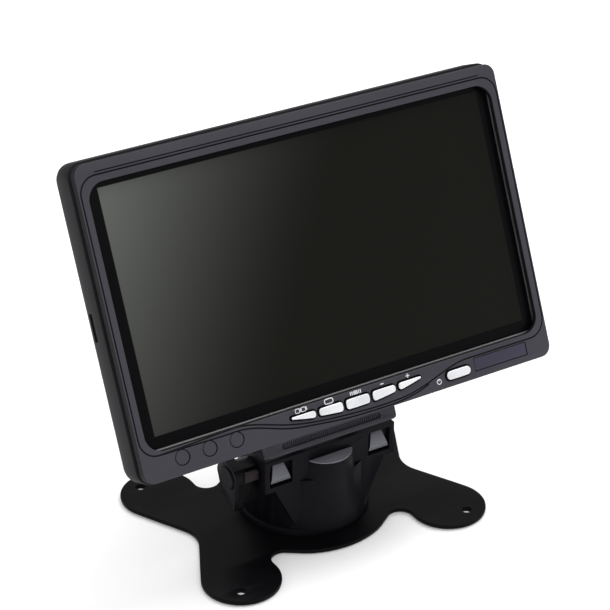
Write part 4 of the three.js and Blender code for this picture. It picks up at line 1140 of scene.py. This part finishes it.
gland_hole = circle(GLAND_HOLE_R, gland_middle.x, gland_middle.y, 32)
cutters.append(plate([gland_hole], case_low.z - 1, case_low.z + 3, SHARP))
housing_mesh = softened(combined(shell, cutters, "DIFFERENCE"), 0.22, 2, 50)
add_piece("rear_casing", housing_mesh, SCREEN, housing_finish, ["rear_housing"], sharp=45)

# %% [markdown]
# ## Vent slats and the cable gland
# Behind each bank of vents the board would be in plain sight, so a casing of this
# kind has a thin slat between every two slots, set a little back. The gland is a
# ribbed rubber sleeve: rings along a line, which a lathe-like profile gives.

# %% Slats and gland
SLAT_DEPTH = 0.7
slats = []
for side in (-1, 1):
    first = side * vent_middle - VENT_PITCH * (VENTS - 2) / 2
    start = (first, vent_y, case_low.z + WALL + 0.05)
    size = (1.0, VENT_H + 1.5, SLAT_DEPTH, 0.4)
    slats.append(bars(VENTS - 1, start, (VENT_PITCH, 0, 0), *size, housing_finish))
add_piece("vent_slats", joined(*slats), SCREEN, housing_finish, body="monitor")

rubber_finish = moulded("gland rubber", "gland_rubber", tone(30, 30, 31), 0.75, 0.02, 0.35, 0.2)
GLAND_BORE = 2.3
profile = [(GLAND_BORE, gland_low.z), (3.4, gland_low.z), (3.8, gland_low.z + 0.4)]
z = gland_low.z + 0.9
while z < case_low.z - 0.9:
    profile += [(4.7, z - 0.3), (4.7, z + 0.1), (4.1, z + 0.3), (4.1, z + 0.5)]
    z += 1.0
profile += [(5.0, case_low.z - 0.8), (5.0, case_low.z - 0.3), (4.0, case_low.z - 0.3)]
profile += [(4.0, gland_high.z), (GLAND_BORE, gland_high.z)]
rings = [at_height(circle(r, gland_middle.x, gland_middle.y, 32), z) for r, z in profile]
add_piece("cable_sleeve", loft(rings, closed=True), SCREEN, rubber_finish, ["cable_gland"])

# %% [markdown]
# ## Bracket, rail and screws
# The bracket is the strip seen under the screen and the plate behind it. A copy of
# the solid gets the rounded edges that a moulding has, and a shallow pocket is cut
# into it first: the finger recess near its top, filled by a row of fine ribs. The
# rail on the screen's back slides into it, and four countersunk screws hold the
# rail.

# %% Bracket and its ribs
bracket_low, bracket_high = span("tilt_bracket", SCREEN)
RIB_PITCH = 0.85
RIBS = 48
RECESS_Y = -6.8
RECESS_W = RIB_PITCH * RIBS + 1.8
RECESS_H = 2.3
RECESS_DEEP = 0.9
recess = rect_about(0, RECESS_Y, RECESS_W, RECESS_H, 1.1, 6)
floor_z = bracket_high.z - RECESS_DEEP
pocket = plate([recess], floor_z, bracket_high.z + 1, SHARP)
hollowed = combined(node_copy("tilt_bracket", SCREEN), [pocket], "DIFFERENCE")
bracket_mesh = softened(hollowed, 0.3, 2)
add_piece("tilting_bracket", bracket_mesh, SCREEN, bracket_finish, ["tilt_bracket"])
rib_start = (-RIB_PITCH * (RIBS - 1) / 2, RECESS_Y, floor_z - 0.05)
ribs = bars(RIBS, rib_start, (RIB_PITCH, 0, 0), 0.4, 2.1, 0.5, 0.15, bracket_finish)
print("bracket in mm:", [round(c, 1) for c in bracket_high - bracket_low])
add_piece("grip_ribs", ribs, SCREEN, bracket_finish, body="monitor")
rail_mesh = softened(node_copy("slide_rail", SCREEN), 0.25, 2)
add_piece("monitor_rail", rail_mesh, SCREEN, bracket_finish, ["slide_rail"])

# %% [markdown]
# ## Steel
# Zinc-plated steel is a bluish grey with a faint yellow cast in patches, and fine
# turning marks. A metal's colour lives in what it reflects, so Metallic stays close
# to one, and the turning marks change the roughness a little.

# %% Finish of the steel
steel_finish = Finish("zinc plated steel", "zinc_steel")
bloom = steel_finish.noise(0.25, 3.0)
turning = steel_finish.noise(2.5, 1.0, steel_finish.stretched((1, 1, 6)))
yellowed = (bloom + 0.45).ramp(0.1, 0.9)
steel_finish.colour(steel_finish.blend(yellowed, tone(176, 180, 188), tone(192, 186, 168)))
steel_finish.feed("Metallic", 0.92 + turning * 0.1)
steel_finish.feed("Roughness", 0.34 + bloom * 0.2 + turning * 0.15)
steel_finish.relief(turning, 0.003)

# %% [markdown]
# ## A screw on every corner
# The four rail screws sit at the corners of a rectangle. A second tree puts one
# screw on each corner of a grid and turns each by a random angle from a fixed seed,
# since no two screws stop at the same angle. One mesh then stands for all four.

# %% A tree for screws on corners
sizes = {"Screw": "Object", "Wide": "Float", "High": "Float", "Seed": "Int"}
screw_grid, given = new_tree("screws on corners", {**sizes, "Material": "Material"})
size = {"Size_X": given["Wide"], "Size_Y": given["High"]}
corners = add_step(screw_grid, "GeometryNodeMeshGrid", Vertices_X=2, Vertices_Y=2, **size)
screw = {"output": "Geometry", "Object": given["Screw"]}
one_screw = add_step(screw_grid, "GeometryNodeObjectInfo", **screw)
draw = {"output": 1, "Seed": given["Seed"]}
turn = add_step(screw_grid, "FunctionNodeRandomValue", {"data_type": "FLOAT"}, **draw)
full_turn = add_step(screw_grid, "ShaderNodeMath", {"operation": "MULTIPLY"}, Value=turn)
full_turn.node.inputs[1].default_value = math.tau
angle = add_step(screw_grid, "ShaderNodeCombineXYZ", Z=full_turn)
placed = {"Points": corners, "Instance": one_screw, "Rotation": angle}
copies = add_step(screw_grid, "GeometryNodeInstanceOnPoints", **placed)
close_tree(screw_grid, copies, given["Material"])
print("steps in the tree:", len(screw_grid.nodes))

# %% A screw, and four of it


def countersunk(head, shank, length):
    """A screw with a cross in its head. The head is at the bottom, looking down."""
    profile = [(0.05, 0), (head - 0.15, 0), (head, 0.15), (head, 0.35)]
    profile += [(shank, head - shank + 0.35)]
    z = head - shank + 0.5
    while z < length - 0.9:
        profile += [(shank, z), (shank * 0.84, z + 0.25)]
        z += 0.5
    profile += [(shank, length - 0.4), (shank * 0.6, length), (0.05, length)]
    body = spun(profile, 32)
    arms = []
    for wide, high in ((head * 1.15, 0.55), (0.55, head * 1.15)):
        arms.append(plate([rect_about(0, 0, wide, high, 0.1, 2)], -1, 0.9, SHARP))
    return combined(body, arms, "DIFFERENCE")


RAIL_SCREWS = [f"rail_screw_{i}" for i in (1, 2, 3, 4)]
SHANK_R = 1.5
screw_spans = [span(name, SCREEN) for name in RAIL_SCREWS]
mids = [(low + high) / 2 for low, high in screw_spans]
low, high = screw_spans[0]
screw_mesh = countersunk((high.x - low.x) / 2, SHANK_R, high.z - low.z)
pattern = bpy.data.objects.new("pattern", screw_mesh)
bpy.context.scene.collection.objects.link(pattern)
wide = max(m.x for m in mids) - min(m.x for m in mids)
tall = max(m.y for m in mids) - min(m.y for m in mids)
steel = steel_finish.material
screws = run_tree(screw_grid, Screw=pattern, Wide=wide, High=tall, Seed=7, Material=steel)
bpy.data.objects.remove(pattern)
middle = sum(mids, Vector((0, 0, 0))) / len(mids)
screws.transform(Matrix.Translation((middle.x, middle.y, low.z)))
add_piece("rail_screws", screws, SCREEN, steel_finish, RAIL_SCREWS)

# %% [markdown]
# ## The foot
# The foot is a thin plate with four lobes, so wide that the screen can't tip it, on
# a foam pad. Its outline is a chain of arcs, convex on the lobes and hollow between
# them, and comes from the frame with the four small holes. The foam is drawn in a
# little and shows as a dull line under the plate.

# %% Plate and pad
foam_finish = moulded("foam black", "foam_pad", tone(28, 28, 30), 0.85, 0.05, 0.5, 0.15)
plate_low, plate_high = span("base_plate", STAND)
foot_mesh = plate(foot_loops, plate_low.z, plate_high.z, 0.35)
add_piece("foot_plate", foot_mesh, STAND, foot_finish, ["base_plate"])
pad_low, pad_high = span("grip_pad", STAND)
pad_loops = [smooth_loop(p) for p in flat_loops("grip_pad", STAND, pad_low.z)]
pad_mesh = plate(pad_loops, pad_low.z, pad_high.z, 0.1)
add_piece("foot_pad", pad_mesh, STAND, foam_finish, ["grip_pad"])

# %% [markdown]
# ## Turntable and post
# The post turns on a low round table. Both are round about the swivel, so the table
# is a profile turned on a lathe. The post is a drum with a leaning nose and a wide
# head, a shape with no single rule. Its solid is copied, its flat triangles are
# merged, and a Bevel modifier rounds each sharp edge as a mould would. Light is
# painted on the flat top of the nose: a mask by height and by distance lightens it.

# %% Round table
table_low, table_high = span("turntable_disc", STAND)
radius = table_high.x
BORE = 2.8
profile = [(BORE, table_low.z), (radius - 0.3, table_low.z), (radius, table_low.z + 0.3)]
top = table_high.z
profile += [(radius, top - 0.7), (radius - 0.2, top - 0.2), (radius - 0.7, top), (BORE, top)]
rings = [at_height(circle(r, sides=96), z) for r, z in profile]
add_piece("round_table", loft(rings, closed=True), STAND, stand_finish, ["turntable_disc"])

# %% Post
AHEAD = (0, -1, 0)
SKYWARD = (0, 0, 1)
post_low, post_high = span("stand_post", STAND)
NOSE_UNDER_TOP = 4.5
nose_top = post_high.z - NOSE_UNDER_TOP
post_finish = stand_black("post black")
FRONT_WALL = 20.30
level = post_finish.along(SKYWARD, STAND @ Vector((0, 0, nose_top))).absolute()
forward = post_finish.along(AHEAD, STAND @ Vector((0, -FRONT_WALL, 0)))
# Painted light: the flat top of the nose turns pale grey.
painted_nose_light = (0.5 - level).ramp(0.0, 0.2) * forward.ramp(0.1, 0.4)
speck = post_finish.noise(7.0, 2.0)
post_finish.over(painted_nose_light * (speck * 0.3 + 0.9), tone(124, 124, 132))
post_mesh = softened(node_copy("stand_post", STAND), 0.45, 3, 40)
add_piece("post_moulding", post_mesh, STAND, post_finish, ["stand_post"], sharp=30)
print("post in mm:", [round(c, 1) for c in post_high - post_low])

# %% [markdown]
# ## The cradle's snap tabs
# The cradle holds the tilt bolt inside the head and snaps into two windows. A snap
# tab has a ramp, so that it slides in and then catches. Light is painted on the ramp
# and the nose of the tab, which are pale, and shade on its sides, which stay black.
# The mask for that is a distance below two planes, the ramp's and the nose's,
# whichever is less.

# %% Cradle
TAB_REACH = 2.1
TAB_LIGHT_TONE = tone(110, 110, 118)
cradle = node_copy("hinge_cradle", STAND)
nose_y = min(v.co.y for v in cradle.vertices)
tab_points = [v.co for v in cradle.vertices if v.co.y < nose_y + TAB_REACH]
tab_end = max(tab_points, key=lambda p: (p.y, p.z))
knee = max((p for p in tab_points if p.y < nose_y + 0.05), key=lambda p: p.z)
ramp_lean = math.atan2(tab_end.y - knee.y, tab_end.z - knee.z)
inward = (0, math.cos(ramp_lean), -math.sin(ramp_lean))
print("ramp leans back by degrees:", round(math.degrees(ramp_lean), 1))
tab_finish = moulded("tab grey", "dark_bracket_plastic", TAB_LIGHT_TONE, 0.45, 0.01, 0.45, 0.2)
under_ramp = tab_finish.along(inward, STAND @ knee)
under_nose = tab_finish.along((0, 1, 0), STAND @ knee)
over_tab = tab_finish.along(SKYWARD, STAND @ tab_end)
# Painted light on the ramp and the nose; painted shade keeps the tab's sides black.
outside_painted_light = under_ramp.least(under_nose).ramp(0.1, 0.26).most(over_tab.ramp(0.02, 0.1))
tab_finish.over(outside_painted_light, STAND_TONE)
add_piece("cradle_clips", softened(cradle, 0.2, 2), STAND, tab_finish, ["hinge_cradle"])

# %% [markdown]
# ## The tilt lock lever
# The lever is a hub round the bolt's nut and a paddle for the thumb. A pressed cap
# with a shallow dish closes the hub's outer end. The solid's outline is right here
# too, so a copy with rounded edges does it. A panel is cut into its front, with
# shade painted on its floor, and a small lip stands over the panel, where a fingertip
# pulls. The lip's paler reddish tone is painted light. The cap is turned.

# %% Blocks in front of the swivel axis
UPENDED = Matrix.Rotation(math.pi / 2, 4, "X")


def front_block(x0, x1, z0, z1, near, far, corner, edge):
    """A rounded block between two depths in front of the swivel axis."""
    outline = rounded_rect(Vector((x0, z0)), Vector((x1, z1)), corner, 4)
    mesh = plate([outline], near, far, edge)
    mesh.transform(UPENDED)
    return mesh


lever_low, lever_high = span("tilt_lock_lever", STAND)
left, right, front = lever_low.x, lever_high.x, -lever_low.y
print("lever in mm:", [round(c, 1) for c in lever_high - lever_low])

# %% Lever and its lip
PANEL_LOW, PANEL_HIGH = 20.0, 30.2
PANEL_DEEP = 1.3
LIP_LOW, LIP_HIGH = 30.6, 34.4
LIP_STANDS = 0.7
panel_floor = front - PANEL_DEEP
sides = (left + 1.5, right + 1)
recess = front_block(*sides, PANEL_LOW, PANEL_HIGH, panel_floor, front + 2, 0.8, SHARP)
hollowed = combined(node_copy("tilt_lock_lever", STAND), [recess], "DIFFERENCE")
lever_finish = stand_black("lever black")
# Painted shade: the floor of the front panel turns almost black.
panel = lever_finish.along(AHEAD, STAND @ Vector((0, -panel_floor, 0))).absolute()
lever_finish.over((0.3 - panel).ramp(0.0, 0.15), tone(6, 5, 7))
lever_mesh = softened(hollowed, 0.4, 2, 40)
add_piece("lock_lever", lever_mesh, STAND, lever_finish, ["tilt_lock_lever"], sharp=35)
# Painted light: the lip is a paler, reddish tone than the lever.
LIT_GRIP_TONE = tone(34, 27, 30)
grip_finish = moulded("thumb grip", "black_stand_plastic", LIT_GRIP_TONE, 0.5, 0.02, 0.5, 0.15)
sides = (left + 3.6, right - 0.6)
grip = front_block(*sides, LIP_LOW, LIP_HIGH, front - 2, front + LIP_STANDS, 0.5, 0.3)
add_piece("lever_lip", grip, STAND, grip_finish, body=BODY_OF["tilt_lock_lever"])

# %% Cap of the hub
cap_low, cap_high = span("lever_cap", STAND)
cap_middle = (cap_low + cap_high) / 2
dish = (cap_high.z - cap_low.z) / 2
thick = cap_high.x - cap_low.x
profile = [(0.05, thick), (dish, thick), (dish, 0.35), (dish - 0.35, 0)]
profile += [(dish - 1, 0), (0.05, 0.3)]
cap_mesh = spun(profile, 40)
cap_place = Matrix.Translation((cap_low.x, cap_middle.y, cap_middle.z))
cap_mesh.transform(cap_place @ Matrix.Rotation(math.pi / 2, 4, "Y"))
welded(cap_mesh)
add_piece("lever_button", cap_mesh, STAND, stand_finish, ["lever_cap"])

# %% [markdown]
# ## What is inside
# Nobody sees the boards and fasteners until a vent or a joint opens, but they are
# part of the object, so they keep the solid's own shapes and get finishes that say
# what they are: a green board with copper tracks, black components and screws, a
# tin tray, a white diffuser, dark friction rings and pale cable. One striped wave
# gives tracks where it wanders and a flat cable's wires where it runs straight.

# %% Board
board_finish = Finish("green circuit board", "board")
wide_wave = board_finish.stripes("X", 0.35, 4.0)
cross_wave = board_finish.stripes("Z", 0.22, 6.0)
tracks = wide_wave.ramp(0.8, 0.9).most(cross_wave.ramp(0.86, 0.95))
board_finish.colour(board_finish.blend(tracks, tone(14, 62, 38), tone(42, 108, 66)))
board_finish.feed("Roughness", 0.32 + board_finish.noise(2.0) * 0.2)
board_finish.relief(tracks, 0.03)
print("board finish:", board_finish.material.name)

# %% Blackened steel and tin
black_steel_finish = Finish("blackened steel", "zinc_steel", specular_ior_level=0.3)
oiled = black_steel_finish.noise(0.6, 3.0)
black_steel_finish.mottled(oiled, tone(24, 24, 27), tone(44, 44, 48))
black_steel_finish.feed("Metallic", 0.7 + oiled * 0.2)
black_steel_finish.feed("Roughness", 0.42 + oiled * 0.2)
black_steel_finish.relief(oiled, 0.004)

tin_finish = Finish("tin plate", "tin_plate")
rolled = tin_finish.noise(1.2, 2.0, tin_finish.stretched((1, 8, 8)))
tin_finish.mottled(rolled, tone(170, 172, 174), tone(204, 205, 204))
tin_finish.feed("Metallic", 0.95 + rolled * 0.05)
tin_finish.feed("Roughness", 0.38 + rolled * 0.25)
tin_finish.relief(rolled, 0.003)
print("metal finishes:", black_steel_finish.material.name, tin_finish.material.name)

# %% Plain mouldings and cable


def plain_part(name, slot, dark, light, gloss, scale):
    """A moulded part in two close tones, for pieces that are rarely seen."""
    finish = Finish(name, slot)
    mottle = finish.noise(scale, 3.0)
    finish.mottled(mottle, dark, light)
    finish.feed("Roughness", gloss + mottle * 0.2)
    finish.relief(mottle, 0.008)
    return finish


chip_tones = tone(20, 20, 21), tone(40, 40, 41)
chip_finish = plain_part("component black", "component_black", *chip_tones, 0.6, 3.0)
nylon_tones = tone(214, 210, 198), tone(232, 229, 220)
nylon_finish = plain_part("natural nylon", "nylon", *nylon_tones, 0.5, 0.8)
acetal_tones = tone(34, 33, 35), tone(48, 47, 50)
acetal_finish = plain_part("dark acetal", "nylon", *acetal_tones, 0.45, 0.8)
diffuser_tones = tone(224, 225, 226), tone(240, 241, 242)
diffuser_finish = plain_part("white diffuser", "diffuser", *diffuser_tones, 0.7, 1.5)
cable_finish = Finish("flat cable", "flat_cable")
lanes = cable_finish.stripes("X", 0.5, 0.0)
gap_tone, wire_tone = tone(205, 203, 196), tone(235, 233, 227)
cable_finish.colour(cable_finish.blend(lanes.ramp(0.3, 0.7), gap_tone, wire_tone))
cable_finish.feed("Roughness", 0.4 + lanes * 0.1)
cable_finish.relief(lanes, 0.03)
print("finishes:", len([m for m in bpy.data.materials if m.use_nodes]))

# %% [markdown]
# ## Paint what the solid already has right
# A node that is left as the solid made it still needs a finish. The record says
# which slot each one belongs to, and this cell gives it the finish made for that
# slot. Anything without a finish is printed by name, which is better than a grey
# part found later.

# %% Finishes for the nodes that stay
SWITCHES = [name + "_switch" for name in KEYS]
STAYS = {
    steel_finish: ["swivel_screw", "swivel_washer", "swivel_nut"],
    black_steel_finish: ["tilt_bolt", "lever_nut", "case_screw_left", "case_screw_right"],
    nylon_finish: ["cable_header"],
    acetal_finish: ["friction_ring", "friction_washer_left", "friction_washer_right"],
    tin_finish: ["lcd_frame"],
    diffuser_finish: ["backlight_unit"],
    board_finish: ["main_board", "key_board"],
    cable_finish: ["ribbon_cable"],
    chip_finish: ["video_chip", "power_coil", "ir_receiver"] + SWITCHES,
}
for finish, names in STAYS.items():
    for name in names:
        mesh = frame["nodes"][name].data
        mesh.materials.clear()
        mesh.materials.append(finish.material)
shown = [n for n, obj in frame["nodes"].items() if not obj.hide_render]
unpainted = sorted(set(shown) - {n for names in STAYS.values() for n in names})
print("nodes shown as the solid made them:", len(shown), "without a finish:", unpainted)

# %% [markdown]
# ## Floor and light
# A wide pale floor stands for a table in a studio, with a faint glow of its own,
# so that it stays white. One big soft light overhead and a little behind brightens
# what faces up, such as the slanted tabs and the top of the nose, and leaves the
# upright faces dark, which shows the shape of black plastic best. A weaker light
# from the front keeps the bezel readable, one from high on the right draws the
# edges of the post, and a faint one from low on the left lifts its dark side.

# %% Floor
floor_mesh = bpy.data.meshes.new("floor")
bm = bmesh.new()
bmesh.ops.create_grid(bm, x_segments=24, y_segments=24, size=6)
bm.to_mesh(floor_mesh)
bm.free()
floor = bpy.data.objects.new("floor", floor_mesh)
bpy.context.scene.collection.objects.link(floor)
floor_finish = Finish("pale floor", "floor", specular_ior_level=0.1, emission_strength=0.12)
cloud = floor_finish.noise(0.002, 2.0)
floor_finish.mottled(cloud, tone(248, 248, 248), tone(252, 252, 252))
floor_finish.feed("Roughness", 0.9 + cloud * 0.05)
floor_finish.shader.inputs["Emission Color"].default_value = (1, 1, 1, 1)
floor_mesh.materials.append(floor_finish.material)
floor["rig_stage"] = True

# %% Lights
AIM = Vector((0.0, -0.002, 0.088))


def soft_light(name, azimuth, elevation, distance, width, power):
    """A square area light that looks at the object."""
    data = bpy.data.lights.new(name, "AREA")
    data.shape = "RECTANGLE"
    data.size = width
    data.size_y = width
    data.energy = power
    obj = bpy.data.objects.new(name, data)
    obj.location = AIM + bearing(azimuth, elevation) * distance
    obj.rotation_euler = (AIM - obj.location).to_track_quat("-Z", "Y").to_euler()
    bpy.context.scene.collection.objects.link(obj)
    return obj


def bearing(azimuth, elevation):
    """The direction from the object at an azimuth and an elevation in degrees."""
    a, e = math.radians(azimuth), math.radians(elevation)
    return Vector((math.sin(a) * math.cos(e), -math.cos(a) * math.cos(e), math.sin(e)))


soft_light("overhead", 150, 70, 1.6, 1.6, 17)
soft_light("front", -10, 46, 2.0, 1.2, 10)
soft_light("high right", 82, 60, 1.6, 0.7, 9)
soft_light("low left", -62, 18, 1.8, 0.8, 1.5)
world = bpy.data.worlds.new("room")
world.use_nodes = True
world.node_tree.nodes["Background"].inputs[0].default_value = (1, 1, 1, 1)
world.node_tree.nodes["Background"].inputs[1].default_value = 0.5
bpy.context.scene.world = world
bpy.context.scene.view_settings.view_transform = "Standard"

# %% [markdown]
# ## The camera
# A long lens from the left and above shows the face, the left side and the foot at
# once, with little perspective. The camera is placed by its bearing and distance
# and turned to the middle of the object.

# %% Camera
camera_data = bpy.data.cameras.new("camera")
camera_data.lens = 126.8
camera_data.sensor_width = 36
camera_data.clip_end = 20
camera = bpy.data.objects.new("camera", camera_data)
camera.location = AIM + bearing(-31.34, 29.27) * 0.7814
camera.rotation_euler = (AIM - camera.location).to_track_quat("-Z", "Y").to_euler()
bpy.context.scene.collection.objects.link(camera)
bpy.context.scene.camera = camera
print("camera at", [round(c, 3) for c in camera.location])

# %% Sizes before and after, and the end
end_low, end_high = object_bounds()
sizes = {"start": [list(start_low), list(start_high)], "end": [list(end_low), list(end_high)]}
print("lowest corner moved by mm:", [round(c / MM, 2) for c in end_low - start_low])
print("highest corner moved by mm:", [round(c / MM, 2) for c in end_high - start_high])
